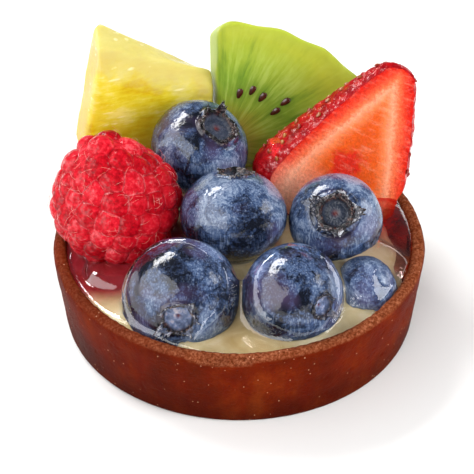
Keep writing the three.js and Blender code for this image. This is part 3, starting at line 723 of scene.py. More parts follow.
    # The glaze lies crumpled over the crown, so it glints there in many small spots.
    crumpled = add(tree, "Math", {0: bits, 1: crown}, operation="MULTIPLY")
    height = add(tree, "Math", {0: crumpled, 1: 1.6, 2: drips}, operation="MULTIPLY_ADD")
    coat_bump = add(tree, "Bump", {"Height": height, "Strength": 0.6, "Distance": 0.3 * MM})
    shader = add(tree, "BsdfPrincipled", {
        "Base Color": whole, "Roughness": rough, "Specular IOR Level": 0.04, "Coat Weight": film,
        "Coat Roughness": 0.04, "Coat IOR": 1.5, "Normal": bump, "Coat Normal": coat_bump})
    add(tree, "OutputMaterial", {"Surface": shader})
    return made


berry_skin = blueberry_skin()
glazed_pieces = []
for number, (name, berry) in enumerate(BERRIES.items()):
    berry_grid, berry_faces, berry_numbers = berry_points(number, berry)
    ball = piece(name + "_skin", berry_grid, berry_faces, [berry_skin], berry_numbers)
    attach(ball, "root")
    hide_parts(name)
    glazed_pieces.append(ball)

# ---- raspberry ----
# A whole raspberry with its tip up and to the left: about ninety juicy drupelets packed in a
# spiral, each with the dried thread of its style, lie against each other with deep creases.
RASPBERRY_AT = (-21.3, 0.2, 23.5)
RASPBERRY_RADIUS = 9.0
RASPBERRY_UP = 11.0
RASPBERRY_DOWN = 9.7
RASPBERRY_LEAN = (-0.27, 0.04, 0.96)
DRUPELET = 2.25
DRUPELETS = 92
DRUPELET_DEPTH = 0.55
CREASE_WIDTH, CREASE_DEPTH = 0.13, 0.16
RASPBERRY_GRID = 122
STYLE_DENSITY = 150000.0
STYLE_LENGTH = 2.3
STYLE_RADIUS = 0.022


def box_grid(nx, ny, nz):
    """Points from -1 to 1 on the six sides of a box, and the quads between them."""
    counts = (nx, ny, nz)
    quads = []
    for axis in range(3):
        u, v = (axis + 1) % 3, (axis + 2) % 3
        i, j = np.meshgrid(np.arange(counts[u]), np.arange(counts[v]), indexing="ij")
        for far in (0, 1):
            steps = [(0, 0), (1, 0), (1, 1), (0, 1)] if far else [(0, 0), (0, 1), (1, 1), (1, 0)]
            corner = np.zeros(i.shape + (4, 3), int)
            for k, (a, b) in enumerate(steps):
                corner[..., k, axis] = far * counts[axis]
                corner[..., k, u] = i + a
                corner[..., k, v] = j + b
            quads.append(corner.reshape(-1, 4, 3))
    lattice, faces = np.unique(np.concatenate(quads).reshape(-1, 3), axis=0, return_inverse=True)
    return lattice / (np.array(counts) / 2) - 1, faces.reshape(-1, 4).tolist()


def raspberry_core(direction):
    """Ovoid that carries the drupelets: blunt at the foot, drawn in towards the tip."""
    along = np.where(direction[..., 2] > 0, RASPBERRY_UP, RASPBERRY_DOWN)
    level = np.hypot(direction[..., 0], direction[..., 1])
    up, right = direction[..., 2], smooth(0.2, 0.8, direction[..., 0])
    taper = 1 - 0.2 * smooth(0.1, 0.9, up)
    taper = taper - 0.07 * right * smooth(-0.1, 0.6, up) - 0.05 * right * smooth(-0.1, -0.6, up)
    return 0.25 + 1 / np.hypot(level / (RASPBERRY_RADIUS * taper), up / along)


def drupelets():
    """Centres and sizes of the drupelets, wound round the core at an even spacing."""
    i = np.arange(DRUPELETS)
    z = 1 - 2 * (i + 0.5) / DRUPELETS
    angle = i * np.pi * (3 - math.sqrt(5))
    level = np.sqrt(1 - z * z)
    direction = np.stack([level * np.cos(angle), level * np.sin(angle), z], -1)
    two = np.full(DRUPELETS, 2.0)
    direction += 0.10 * np.stack([ripple(i, two, 5), ripple(3, i, 1), ripple(6, 4, i)], -1)
    direction /= np.linalg.norm(direction, axis=1, keepdims=True)
    size = DRUPELET * (1 + 0.16 * ripple(i * 1.3, i * 0.7, 2) - 0.12 * smooth(0.75, 1, z))
    return direction * raspberry_core(direction)[:, None], size


def raspberry_points():
    lattice, faces = box_grid(RASPBERRY_GRID, RASPBERRY_GRID, RASPBERRY_GRID)
    direction = np.tan(lattice * math.pi / 4)
    direction /= np.linalg.norm(direction, axis=1, keepdims=True)
    centres, sizes = drupelets()
    along = direction @ centres.T
    inside = along ** 2 - (centres ** 2).sum(1) + sizes ** 2
    reach = np.where((along > 0) & (inside > 0), along + np.sqrt(np.maximum(inside, 0)), 0)
    best = np.argmax(reach, 1)
    ranked = np.sort(reach, 1)
    core = raspberry_core(direction)
    top = np.maximum(ranked[:, -1], core)
    margin = top - np.maximum(ranked[:, -2], core)
    margin = np.where(ranked[:, -1] < core, 0.3, margin)
    # Each drupelet is pressed flat against the next, so the crease between two is narrow.
    crease = np.exp(-margin / CREASE_WIDTH)
    full = core + DRUPELET
    reached = full - DRUPELET_DEPTH * (full - top) - CREASE_DEPTH * crease
    local = direction * reached[:, None]
    local += direction * (0.07 * grain(local, 0.9, 4.4) + 0.05 * grain(local, 0.4, 1.4))[:, None]
    own = ripple(best * 2.1, best * 0.9, 3)
    points = local @ turn_up(RASPBERRY_LEAN).T + RASPBERRY_AT
    return points, faces, margin, own


def raspberry_flesh():
    """Ripe raspberry: thin moist skin over clear red juice, so each drupelet glows red in its
    middle. A thin pink line round its edge is a painted highlight, and painted shade darkens its
    creases and the fruit's right-hand side and low part."""
    made, tree, place = empty_material("moist raspberry drupelets")
    margin, own, sunk = (add(tree, "Attribute", attribute_name=key).outputs["Fac"]
                         for key in ("margin", "own", "sunk"))
    blotch = add(tree, "TexNoise", {
        "Vector": place, "Scale": 1 / (0.9 * MM), "Detail": 5, "Roughness": 0.68})
    shade = add(tree, "Math", {0: own, 1: 0.2, 2: blotch}, operation="MULTIPLY_ADD")
    juice = add(tree, "ValToRGB", {"Fac": shade}, stops=[
        (0.28, "84030e"), (0.46, "b40a1a"), (0.62, "d42030"), (0.75, "e8585f")])
    # Painted highlight: a thin pink line round each drupelet, where glaze in the joints catches
    # light.
    edge = add(tree, "ValToRGB", {"Fac": margin}, stops=[
        (0, (0.05, 0.05, 0.05, 1)), (0.1, (0.8, 0.8, 0.8, 1)), (0.2, (0.1, 0.1, 0.1, 1)),
        (0.5, (0, 0, 0, 1))])
    lines = add(tree, "MapRange", {
        "Value": blotch, "From Min": 0.42, "From Max": 0.56, "To Min": 0.05, "To Max": 0.75})
    outline = add(tree, "Math", {0: edge, 1: lines}, operation="MULTIPLY")
    # Painted shade: the right-hand side and the low part, down between the berries, are
    # darkened to a deep red.
    across = add(tree, "SeparateXYZ", {0: place})
    shade_right = add(tree, "MapRange", {
        "Value": across.outputs["X"], "From Min": -21 * MM, "From Max": -12 * MM, "To Max": 0.6})
    low = add(tree, "MapRange", {
        "Value": across.outputs["Z"], "From Min": 21 * MM, "From Max": 14 * MM, "To Max": 0.7})
    painted_shade = add(tree, "Math", {0: shade_right, 1: low}, operation="MAXIMUM")
    shaded_juice = add(tree, "Mix", {0: painted_shade, 6: juice, 7: "8c0712"}, data_type="RGBA")
    pink = add(tree, "Mix", {0: outline, 6: shaded_juice, 7: "f0868c"}, data_type="RGBA")
    # Painted shade: dark red down in the creases between the drupelets.
    deep = add(tree, "MapRange", {
        "Value": margin, "From Max": CREASE_WIDTH, "To Min": 0.9, "To Max": 0})
    dark = add(tree, "Mix", {0: deep, 6: pink, 7: "6c0812"}, data_type="RGBA")
    # The brushed glaze ran off the drupelets and stayed as wet spots: small broken glints.
    spots = add(tree, "TexNoise", {
        "Vector": place, "Scale": 1 / (1.1 * MM), "Detail": 3, "Roughness": 0.6})
    wet = add(tree, "MapRange", {
        "Value": spots, "From Min": 0.49, "From Max": 0.56, "To Min": 0.08})
    film = add(tree, "MapRange", {"Value": sunk, "To Min": wet, "To Max": 0})
    bump = add(tree, "Bump", {"Height": blotch, "Strength": 0.4, "Distance": 0.15 * MM})
    drips = add(tree, "TexNoise", {
        "Vector": place, "Scale": 1 / (0.7 * MM), "Detail": 4, "Roughness": 0.65})
    coat_bump = add(tree, "Bump", {"Height": drips, "Strength": 0.3, "Distance": 0.12 * MM})
    shader = add(tree, "BsdfPrincipled", {
        "Base Color": dark, "Roughness": 0.45, "Subsurface Weight": 0.12,
        "Subsurface Radius": (1, 0.14, 0.12), "Subsurface Scale": 0.8 * MM,
        "Specular IOR Level": 0.04, "Coat Weight": film, "Coat Roughness": 0.02, "Coat IOR": 1.32,
        "Normal": bump, "Coat Normal": coat_bump})
    add(tree, "OutputMaterial", {"Surface": shader})
    return made


def style_thread():
    """Dried raspberry styles: stiff threads, straw-pink and half see-through."""
    made, tree, place = empty_material("dried raspberry style")
    along = add(tree, "TexNoise", {"Vector": place, "Scale": 1 / (0.8 * MM)})
    tint = add(tree, "Mix", {0: along, 6: "c4564f", 7: "f0b4a8"}, data_type="RGBA")
    shader = add(tree, "BsdfPrincipled", {
        "Base Color": tint, "Roughness": 0.45, "Subsurface Weight": 0.2,
        "Subsurface Scale": 0.2 * MM})
    add(tree, "OutputMaterial", {"Surface": shader})
    return made


def geometry_tree(name, *sizes):
    """A geometry tree with named inputs for its sizes, and the sockets that hand them in."""
    tree = bpy.data.node_groups.new(name, "GeometryNodeTree")
    for way in ("INPUT", "OUTPUT"):
        tree.interface.new_socket("Geometry", in_out=way, socket_type="NodeSocketGeometry")
    for key in sizes:
        tree.interface.new_socket(key, in_out="INPUT", socket_type="NodeSocketFloat")
    return tree, add(tree, "NodeGroupInput").outputs


def styles_tree(material):
    """Stands bent, tapering threads on a surface, at random lengths and leans."""
    tree, given = geometry_tree("raspberry styles", "Density", "Length", "Thickness")
    spots = add(tree, "GeometryNodeDistributePointsOnFaces", {
        "Mesh": given["Geometry"], "Density": given["Density"], "Seed": 11})
    bend = add(tree, "GeometryNodeCurveQuadraticBezier", {
        "Resolution": 7, "Start": (0, 0, -0.05), "Middle": (0.35, 0, 0.42),
        "End": (0.95, 0, 0.08)})
    run = add(tree, "GeometryNodeSplineParameter")
    slim = add(tree, "MapRange", {"Value": run, "To Min": 1, "To Max": 0.35})
    tapered = add(tree, "GeometryNodeSetCurveRadius", {"Curve": bend, "Radius": slim})
    share = add(tree, "Math", {0: given["Thickness"], 1: given["Length"]}, operation="DIVIDE")
    ring = add(tree, "GeometryNodeCurvePrimitiveCircle", {"Resolution": 5, "Radius": share})
    thread = add(tree, "GeometryNodeCurveToMesh", {
        "Curve": tapered, "Profile Curve": ring, "Fill Caps": True})
    spin = add(tree, "FunctionNodeRandomValue", {
        "Min": (-0.35, -0.35, 0), "Max": (0.35, 0.35, 2 * math.pi), "Seed": 5},
        data_type="FLOAT_VECTOR")
    turned = add(tree, "FunctionNodeRotateRotation", {
        "Rotation": spots.outputs["Rotation"], "Rotate By": spin}, rotation_space="LOCAL")
    vary = add(tree, "FunctionNodeRandomValue", {2: 0.45, 3: 1, "Seed": 8})
    long = add(tree, "Math", {0: given["Length"], 1: vary}, operation="MULTIPLY")
    stood = add(tree, "GeometryNodeInstanceOnPoints", {
        "Points": spots.outputs["Points"], "Instance": thread, "Rotation": turned, "Scale": long})
    real = add(tree, "GeometryNodeRealizeInstances", {"Geometry": stood})
    dressed = add(tree, "GeometryNodeSetMaterial", {"Geometry": real, "Material": material})
    add(tree, "NodeGroupOutput", {"Geometry": dressed})
    return tree


def grown(name, source, tree, sizes):
    """Plain mesh piece that a geometry tree makes from a source piece and its named sizes."""
    carrier = bpy.data.objects.new(name, source.data.copy())
    bpy.context.scene.collection.objects.link(carrier)
    modifier = carrier.modifiers.new("grow", "NODES")
    modifier.node_group = tree
    for item in tree.interface.items_tree:
        if item.name in sizes:
            modifier[item.identifier] = sizes[item.name]
    bpy.context.view_layer.update()
    seen = carrier.evaluated_get(bpy.context.evaluated_depsgraph_get())
    mesh = bpy.data.meshes.new_from_object(seen)
    carrier.modifiers.clear()
    carrier.data = mesh
    mesh.name = name
    mesh.shade_smooth()
    return carrier


rasp_points, rasp_faces, rasp_margin, rasp_own = raspberry_points()
raspberry = piece("raspberry_drupelets", rasp_points, rasp_faces, [raspberry_flesh()],
                  {"margin": rasp_margin, "own": rasp_own, "sunk": 0 * rasp_margin})
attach(raspberry, "root")
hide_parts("raspberry")
glazed_pieces.append(raspberry)

styles = grown("raspberry_styles", raspberry, styles_tree(style_thread()), {
    "Density": STYLE_DENSITY, "Length": STYLE_LENGTH * MM, "Thickness": STYLE_RADIUS * MM})
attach(styles, "root")

# ---- strawberry half ----
# Half a strawberry, halved from tip to hull and stood in the cream with its wet cut face to the
# front. The skin still carries its seeds, each in its own dimple.
STRAWBERRY_FACE = (16.6, 8.4, 20.5)
STRAWBERRY_TURN = 12
STRAWBERRY_LEAN = 14
STRAWBERRY_TIP = (13.9, 20.0)
STRAWBERRY_TILT = 30
STRAWBERRY_LENGTH = 34
STRAWBERRY_SHOULDER = 24.5
STRAWBERRY_DEPTH = 0.7
STRAWBERRY_ROWS = 170
SKIN_STEPS = 170
FACE_STEPS = 96
ACHENE_ROWS = 8
ACHENE_SIZE = (0.62, 0.38, 0.30)
ACHENE_SINK = 0.16
# Skin that lies in the gel, lower than this, carries no seeds.
ACHENE_LOWEST = SHELL_HEIGHT + 1.5
DIMPLE_DEPTH, DIMPLE_WIDTH = 0.45, 0.85
# The cut: how far it lies beside the fruit's middle and behind it, and by how much deeper it runs
# towards the hull, up to a distance from the tip.
CUT_OFFSET = 0.75
CUT_SET_BACK = 1.4
CUT_TAPER = 0.14
CUT_TAPER_END = 26
PALE_CORNER = (8.5, 9.6, 18.6)
HEART_PIT = (20.0, -0.8, 0.0)


def slice_axes(turn, lean):
    """Axes of an upright slice: along its face, up its face, and out of its face to the front."""
    ct, st = math.cos(math.radians(turn)), math.sin(math.radians(turn))
    cl, sl = math.cos(math.radians(lean)), math.sin(math.radians(lean))
    return np.array([[ct, st, 0], [-st * sl, ct * sl, cl], [st * cl, -ct * cl, sl]])


def strawberry_radius(s):
    flank = 2.9 + 0.565 * s - 0.0044 * s * s
    tip = np.sqrt(np.maximum(0, 1 - (1 - np.minimum(1, s / 1.7)) ** 2))
    past = np.maximum(0, s - STRAWBERRY_SHOULDER) / (STRAWBERRY_LENGTH - STRAWBERRY_SHOULDER)
    return flank * tip * np.sqrt(np.maximum(0, 1 - past * past))


def strawberry_section(s, angle):
    """Where the skin lies across the fruit and in front of the cut, at a distance from the tip."""
    bump = 0.14 * ripple(s * 0.5, np.cos(angle) * 5, np.sin(angle) * 5)
    radius = strawberry_radius(s) + bump * smooth(0, 1, s)
    across = radius * np.cos(angle) - CUT_OFFSET
    depth = (radius * np.sin(angle) * STRAWBERRY_DEPTH - CUT_SET_BACK
             - CUT_TAPER * np.minimum(s, CUT_TAPER_END))
    return across, depth


def strawberry_place(s, across, depth):
    ct, st = math.cos(math.radians(STRAWBERRY_TILT)), math.sin(math.radians(STRAWBERRY_TILT))
    h = STRAWBERRY_TIP[0] - s * st + across * ct
    v = STRAWBERRY_TIP[1] - s * ct - across * st
    axes = slice_axes(STRAWBERRY_TURN, STRAWBERRY_LEAN)
    return np.array(STRAWBERRY_FACE) + h[..., None] * axes[0] + v[..., None] * axes[1] \
        + depth[..., None] * axes[2]


def clear_rim(points):
    """Draws in what would reach into the wall, and lets it lean out over the rim by degrees."""
    over = SHELL_HEIGHT + 0.65
    reach = np.hypot(points[..., 0], points[..., 1])
    room = np.interp(points[..., 2], [8.0, SHELL_HEIGHT - 0.6, over, over + 2.5, over + 6.0],
                     [INNER - 1.6, INNER - 0.9, INNER - 0.4, INNER + 1.6, INNER + 6.0])
    drawn = np.minimum(1, room / np.maximum(reach, 1e-6))
    moved = points.copy()
    moved[..., 0] *= drawn
    moved[..., 1] *= drawn
    return moved


def soften(points, faces, rounds, keep=None):
    """Rounds hard edges by moving each point towards the middle of its neighbours."""
    quads = np.array([f if len(f) == 4 else [*f, f[2]] for f in faces])
    ends = np.concatenate([quads[:, [k, (k + 1) % 4]] for k in range(4)])
    ends = ends[ends[:, 0] != ends[:, 1]]
    ends = np.concatenate([ends, ends[:, ::-1]])
    count = np.bincount(ends[:, 0], minlength=len(points))[:, None]
    for _ in range(rounds):
        total = np.zeros_like(points)
        for k in range(3):
            total[:, k] = np.bincount(ends[:, 0], points[ends[:, 1], k], len(points))
        step = 0.5 * (total / count - points)
        points = points + (step if keep is None else step * keep[:, None])
    return points


def achene_spots():
    """Staggered rows of seeds: distance from the tip and angle round the fruit."""
    spots = []
    for row in range(ACHENE_ROWS):
        s = 1.4 + 26 * row / ACHENE_ROWS
        count = max(6, round(float(strawberry_radius(s)) * 1.7))
        for i in range(count):
            wander = 0.25 * math.sin(i * 2.9 + row * 1.7)
            spots.append((s + 2 * wander, (i + (row % 2) / 2 + wander) / count * 2 * math.pi))
    return spots


def strawberry_points():
    t = np.linspace(0.0, 1.0, STRAWBERRY_ROWS + 2)[1:-1]
    s = (STRAWBERRY_LENGTH * (0.996 * (t - 0.10 * np.sin(2 * np.pi * t)) + 0.002))[:, None]
    # The cut leaves the skin where it would stand in front of the face, from start round to end.
    fine = np.linspace(0, 2 * np.pi, 1441)[None, :]
    across, depth = strawberry_section(s, np.pi / 2 + fine)
    behind = depth <= 0
    start = fine[0, np.argmax(behind, 1)]
    end = fine[0, fine.shape[1] - 1 - np.argmax(behind[:, ::-1], 1)]
    whole = behind[:, 0]
    start = np.where(whole, 0, start)
    end = np.where(whole, 2 * np.pi, end)
    share = np.linspace(0, 1, SKIN_STEPS)[None, :]
    angle = np.pi / 2 + start[:, None] + (end - start)[:, None] * share
    skin_across, skin_depth = strawberry_section(s, angle)
    skin_depth = np.where(whole[:, None], skin_depth, np.minimum(skin_depth, 0))
    step = np.linspace(0, 1, FACE_STEPS + 2)[None, 1:-1]
    face_across = skin_across[:, -1:] + (skin_across[:, :1] - skin_across[:, -1:]) * step
    face_depth = skin_depth[:, -1:] + (skin_depth[:, :1] - skin_depth[:, -1:]) * step
    across = np.concatenate([skin_across, face_across], 1)
    depth = np.concatenate([skin_depth, face_depth], 1)
    along = s + 0 * across
    cut = np.concatenate([0 * skin_across, 1 + 0 * face_across], 1)
    points = strawberry_place(along, across, depth)
    ends = strawberry_place(np.array([0.0, STRAWBERRY_LENGTH]), -np.full(2, CUT_OFFSET),
                            -CUT_SET_BACK - CUT_TAPER * np.array([0, CUT_TAPER_END]))
    flat = np.vstack([points.reshape(-1, 3), ends])
    half = np.maximum(strawberry_radius(along), 0.3)
    flesh = np.stack([along, across + CUT_OFFSET, half], -1).reshape(-1, 3)
    flesh = np.vstack([flesh, [[0, 0, 0.3], [STRAWBERRY_LENGTH, 0, 0.3]]])
    return flat, points.shape[:2], np.append(cut.ravel(), [0, 0]), flesh


def dimpled(points, cut):
    """Sinks a dimple round every seed and raises the skin between them."""
    seeds = []
    for s, angle in achene_spots():
        across, depth = strawberry_section(np.array(s), np.array(angle))
        if depth < -0.5:
            seeds.append(strawberry_place(np.array(s), across, depth))
    seeds = np.array(seeds)
    gap = np.full(len(points), 9.0)
    for seed in seeds:
        gap = np.minimum(gap, np.linalg.norm(points - seed, axis=1))
    middle = strawberry_place(np.array(17.0), np.array(-CUT_OFFSET), np.array(-3.5))
    outward = points - middle
    outward /= np.linalg.norm(outward, axis=1, keepdims=True)
    wet = 0.20 * grain(points, 1.1, 3.0) + 0.15 * grain(points, 0.6, 8.0)
    sink = 0.05 - DIMPLE_DEPTH * np.exp(-(gap / DIMPLE_WIDTH) ** 2) + wet
    face = slice_axes(STRAWBERRY_TURN, STRAWBERRY_LEAN)[2]
    rough = 0.05 * grain(points, 1.4, 5.0) + 0.03 * grain(points, 0.6, 1.0)
    moved = points + outward * (sink * (1 - cut))[:, None] + face * (rough * cut)[:, None]
    return moved, seeds, middle


def strawberry_flesh():
    """Cut strawberry: wet flesh that runs from a red rim under the skin through pale salmon
    bands to an orange heart, crossed by fine veins; the skin itself is waxy scarlet."""
    made, tree, place = empty_material("cut strawberry flesh and skin")
    cut = add(tree, "Attribute", attribute_name="cut").outputs["Fac"]
    flesh = add(tree, "Attribute", attribute_name="flesh").outputs["Vector"]
    sunk = add(tree, "Attribute", attribute_name="sunk").outputs["Fac"]
    axis = add(tree, "SeparateXYZ", {0: flesh})
    wander = add(tree, "TexNoise", {
        "Vector": place, "Scale": 1 / (2.6 * MM), "Detail": 4, "Roughness": 0.6})
    side = add(tree, "Math", {0: axis.outputs["Y"]}, operation="ABSOLUTE")
    depth = add(tree, "Math", {0: axis.outputs["Z"], 1: side}, operation="SUBTRACT")
    cells = add(tree, "TexNoise", {
        "Vector": place, "Scale": 1 / (0.55 * MM), "Detail": 3, "Roughness": 0.7})
    fringed = add(tree, "Math", {0: cells, 1: 1.3, 2: depth}, operation="MULTIPLY_ADD")
    bent = add(tree, "Math", {0: wander, 1: 1.8, 2: fringed}, operation="MULTIPLY_ADD")
    layers = add(tree, "MapRange", {"Value": bent, "From Min": 1.55, "From Max": 15.55})
    bands = add(tree, "ValToRGB", {"Fac": layers}, stops=[
        (0, "b50f10"), (0.10, "d02014"), (0.19, "df4228"), (0.28, "e56c43"), (0.36, "ee9873"),
        (0.45, "e67846"), (0.56, "d9581c"), (0.9, "cf4716")])
    # Round the hollow of the heart the flesh is red again.
    flatly = add(tree, "VectorMath", {0: flesh, 1: (1, 1, 0)}, operation="MULTIPLY")
    from_pit = add(tree, "VectorMath", {0: flatly, 1: HEART_PIT}, operation="DISTANCE")
    torn_pit = add(tree, "Math", {0: wander, 1: -7, 2: from_pit}, operation="MULTIPLY_ADD")
    round_pit = add(tree, "Math", {0: cells, 1: -3.5, 2: torn_pit}, operation="MULTIPLY_ADD")
    pit = add(tree, "MapRange", {
        "Value": round_pit, "From Min": -1.5, "From Max": -3.2, "To Max": 0.9})
    # Veins run from the heart out to the seeds, so they are drawn out across the fruit.
    drawn = add(tree, "Mapping", {
        "Vector": flesh, "Scale": (1, 0.22, 0), "Rotation": (0, 0, 0.35)})
    veins = add(tree, "TexNoise", {
        "Vector": drawn, "Scale": 1 / 0.9, "Detail": 4, "Roughness": 0.65})
    vein = add(tree, "MapRange", {
        "Value": veins, "From Min": 0.52, "From Max": 0.72, "To Max": 0.22})
    pitted = add(tree, "Mix", {0: pit, 6: bands, 7: "cc231a"}, data_type="RGBA")
    streaked = add(tree, "Mix", {0: vein, 6: pitted, 7: "fcc0a0"}, data_type="RGBA")
    # The lower left corner lies in gel and has gone pale and wet.
    from_corner = add(tree, "VectorMath", {
        0: place, 1: tuple(v * MM for v in PALE_CORNER)}, operation="DISTANCE")
    soaked = add(tree, "MapRange", {
        "Value": from_corner, "From Min": 2 * MM, "From Max": 9.5 * MM, "To Min": 0.7,
        "To Max": 0}, **EASED)
    wetter = add(tree, "Mix", {0: soaked, 6: streaked, 7: "f0b49a"}, data_type="RGBA")
    speckle = add(tree, "MapRange", {
        "Value": cells, "From Min": 0.3, "From Max": 0.7, "To Min": 0.78, "To Max": 1.14})
    veined = add(tree, "VectorMath", {0: wetter, 1: speckle}, operation="MULTIPLY")
    patches = add(tree, "TexNoise", {"Vector": place, "Scale": 1 / (1.7 * MM), "Detail": 3})
    skin = add(tree, "ValToRGB", {"Fac": patches}, stops=[
        (0.3, "7a050d"), (0.5, "a30a12"), (0.75, "c61c1b")])
    tint = add(tree, "Mix", {0: cut, 6: skin, 7: veined}, data_type="RGBA")
    fine = add(tree, "TexNoise", {
        "Vector": place, "Scale": 1 / (0.5 * MM), "Detail": 3, "Roughness": 0.6})
    bump = add(tree, "Bump", {"Height": fine, "Strength": 1, "Distance": 0.25 * MM})
    dryness = add(tree, "Math", {0: cut, 1: 0.6}, operation="MULTIPLY")
    beaded = add(tree, "TexNoise", {
        "Vector": place, "Scale": 1 / (0.85 * MM), "Detail": 3, "Roughness": 0.6})
    bead = add(tree, "MapRange", {
        "Value": beaded, "From Min": 0.51, "From Max": 0.57, "To Min": 0.03})
    wetness = add(tree, "Math", {0: bead, 1: dryness}, operation="SUBTRACT", use_clamp=True)
    film = add(tree, "MapRange", {"Value": sunk, "To Min": wetness, "To Max": 0})
    rough = add(tree, "MapRange", {"Value": cut, "To Min": 0.35, "To Max": 0.5})
    shader = add(tree, "BsdfPrincipled", {
        "Base Color": tint, "Roughness": rough, "Subsurface Weight": 0.3,
        "Subsurface Radius": (1, 0.4, 0.25), "Subsurface Scale": 0.7 * MM,
        "Specular IOR Level": 0.05, "Coat Weight": film, "Coat Roughness": 0.05, "Coat IOR": 1.6,
        "Normal": bump, "Coat Normal": bump})
    add(tree, "OutputMaterial", {"Surface": shader})
    return made


def achene_husk():
    """Strawberry seeds: hard dry husks, ochre to brown, with a dull shine."""
    made, tree, place = empty_material("strawberry seed husk")
    blotch = add(tree, "TexNoise", {"Vector": place, "Scale": 1 / (2.2 * MM)})
    tint = add(tree, "ValToRGB", {"Fac": blotch}, stops=[(0.46, "8c2016"), (0.72, "c08c46")])
    shader = add(tree, "BsdfPrincipled", {
        "Base Color": tint, "Roughness": 0.3, "Coat Weight": 0.5})
    add(tree, "OutputMaterial", {"Surface": shader})
    return made


def seed_grain(at, along, out, size):
    """Teardrop seed, drawn to a point along one direction and flat towards another."""
    side = np.cross(out, along)
    turns, rings = 10, 6
    lift = np.linspace(-1, 1, rings + 2)[1:-1]
    angle = np.linspace(0, 2 * np.pi, turns, endpoint=False)[None, :]
    girth = np.sqrt(1 - lift ** 2) * (1 - 0.3 * lift)
    ring = lift[:, None, None] * along * size[0] \
        + (girth[:, None] * np.cos(angle))[..., None] * side * size[1] \
        + (girth[:, None] * np.sin(angle))[..., None] * out * size[2]
    ends = np.array([-along * size[0], along * size[0] * 1.1])
    return np.vstack([ring.reshape(-1, 3), ends]) + at, tube_faces(rings, turns)


def joined(parts):
    """One list of points and faces from several, with the part that each face came from."""
    points, faces, source = [], [], []
    base = 0
    for k, (some, quads) in enumerate(parts):
        points.append(some)
        faces += [[base + i for i in f] for f in quads]
        source += [k] * len(quads)
        base += len(some)
    return np.vstack(points), faces, source


straw_raw, straw_size, straw_cut, straw_flesh = strawberry_points()
straw_faces = tube_faces(*straw_size)
straw_points, straw_seeds, straw_middle = dimpled(straw_raw, straw_cut)
straw_points = soften(straw_points, straw_faces, 2)
straw_points = clear_rim(straw_points)
straw_parts = [(straw_points, straw_faces)]
down_axis = slice_axes(STRAWBERRY_TURN, STRAWBERRY_LEAN)
fall = -(math.sin(math.radians(STRAWBERRY_TILT)) * down_axis[0]
         + math.cos(math.radians(STRAWBERRY_TILT)) * down_axis[1])
for seed in straw_seeds:
    if seed[2] > ACHENE_LOWEST:
        out = (seed - straw_middle) / np.linalg.norm(seed - straw_middle)
        along = fall - out * (fall @ out)
        along /= np.linalg.norm(along)
        straw_parts.append(seed_grain(seed - out * ACHENE_SINK, along, out, ACHENE_SIZE))
all_points, all_faces, all_source = joined(straw_parts)
extra = len(all_points) - len(straw_points)
strawberry = piece(
    "strawberry_half_flesh", all_points, all_faces, [strawberry_flesh(), achene_husk()],
    {"cut": np.append(straw_cut, np.zeros(extra)),
     "flesh": np.vstack([straw_flesh, np.zeros((extra, 3))]),
     "sunk": np.zeros(len(all_points))},
    [min(k, 1) for k in all_source])
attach(strawberry, "root")
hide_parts("strawberry_half")
glazed_pieces.append(strawberry)

# ---- kiwi slice ----
# Half a peeled kiwi slice, stood up behind the berries with its cut face to the front: lime flesh
# streaked from the brownish core outwards, with a few dark seeds.
KIWI_CORE = (-3.4, 22.4, 18.2)
KIWI_TURN = 5
KIWI_LEAN = 8
KIWI_RADIUS = 21.8
KIWI_WIDEST = 25.2
KIWI_THICK = 6.6
# Rounds of softening that turn a lattice's square edge into the soft edge that a knife leaves.
KNIFE_ROUNDING = 34
KIWI_SLOPE = 3.7
KIWI_FOOT = 6.2
KIWI_GRID = (76, 150, 20)
KIWI_SEED_SIZE = (1.2, 0.62, 0.42)
KIWI_SEED_SINK, KIWI_SEED_HALO = 0.12, 1.6
KIWI_SEEDS = [(3.6, 10.9), (5.9, 11.4), (7.7, 9.9), (11.8, 8.7), (10.0, 6.9)]


def kiwi_reach(angle):
    """Outline of the half slice round its core: bumpy outside, flat at its hidden foot."""
    sector = KIWI_RADIUS + 6.4 * np.maximum(0, 1 - np.sin(angle)) ** 1.2
    bump = 0.25 * np.cos(18 * (angle - 1.46)) - 1.4 * smooth(1.5, 1.57, angle)
    whole = np.minimum(sector, KIWI_WIDEST) + bump
    down = np.maximum(1e-9, -np.sin(angle))
    foot = np.where(down > 0.01, KIWI_FOOT / down, np.inf)
    corner = np.where(angle < 0, 10 / (np.cos(angle) * 0.395 + down * 0.5), np.inf)
    return np.minimum(np.minimum(whole, foot), corner)


def half_disc(x, y):
    """Share of the reach and angle for a box section, x 0 to 1 and y -1 to 1, without a pole."""
    right = np.abs(y) <= x
    safe_x, safe_y = np.maximum(x, 1e-9), np.where(np.abs(y) < 1e-9, 1e-9, y)
    share = np.where(right, x, np.abs(y))
    flat = np.where(right, np.pi / 4 * y / safe_x,
                    np.sign(safe_y) * (np.pi / 2 - np.pi / 4 * x / np.abs(safe_y)))
    return share, np.where(share > 0, flat, 0)


def kiwi_place(h, v, depth):
    axes = slice_axes(KIWI_TURN, KIWI_LEAN)
    return np.array(KIWI_CORE) + h[..., None] * axes[0] + v[..., None] * axes[1] \
        - depth[..., None] * axes[2]


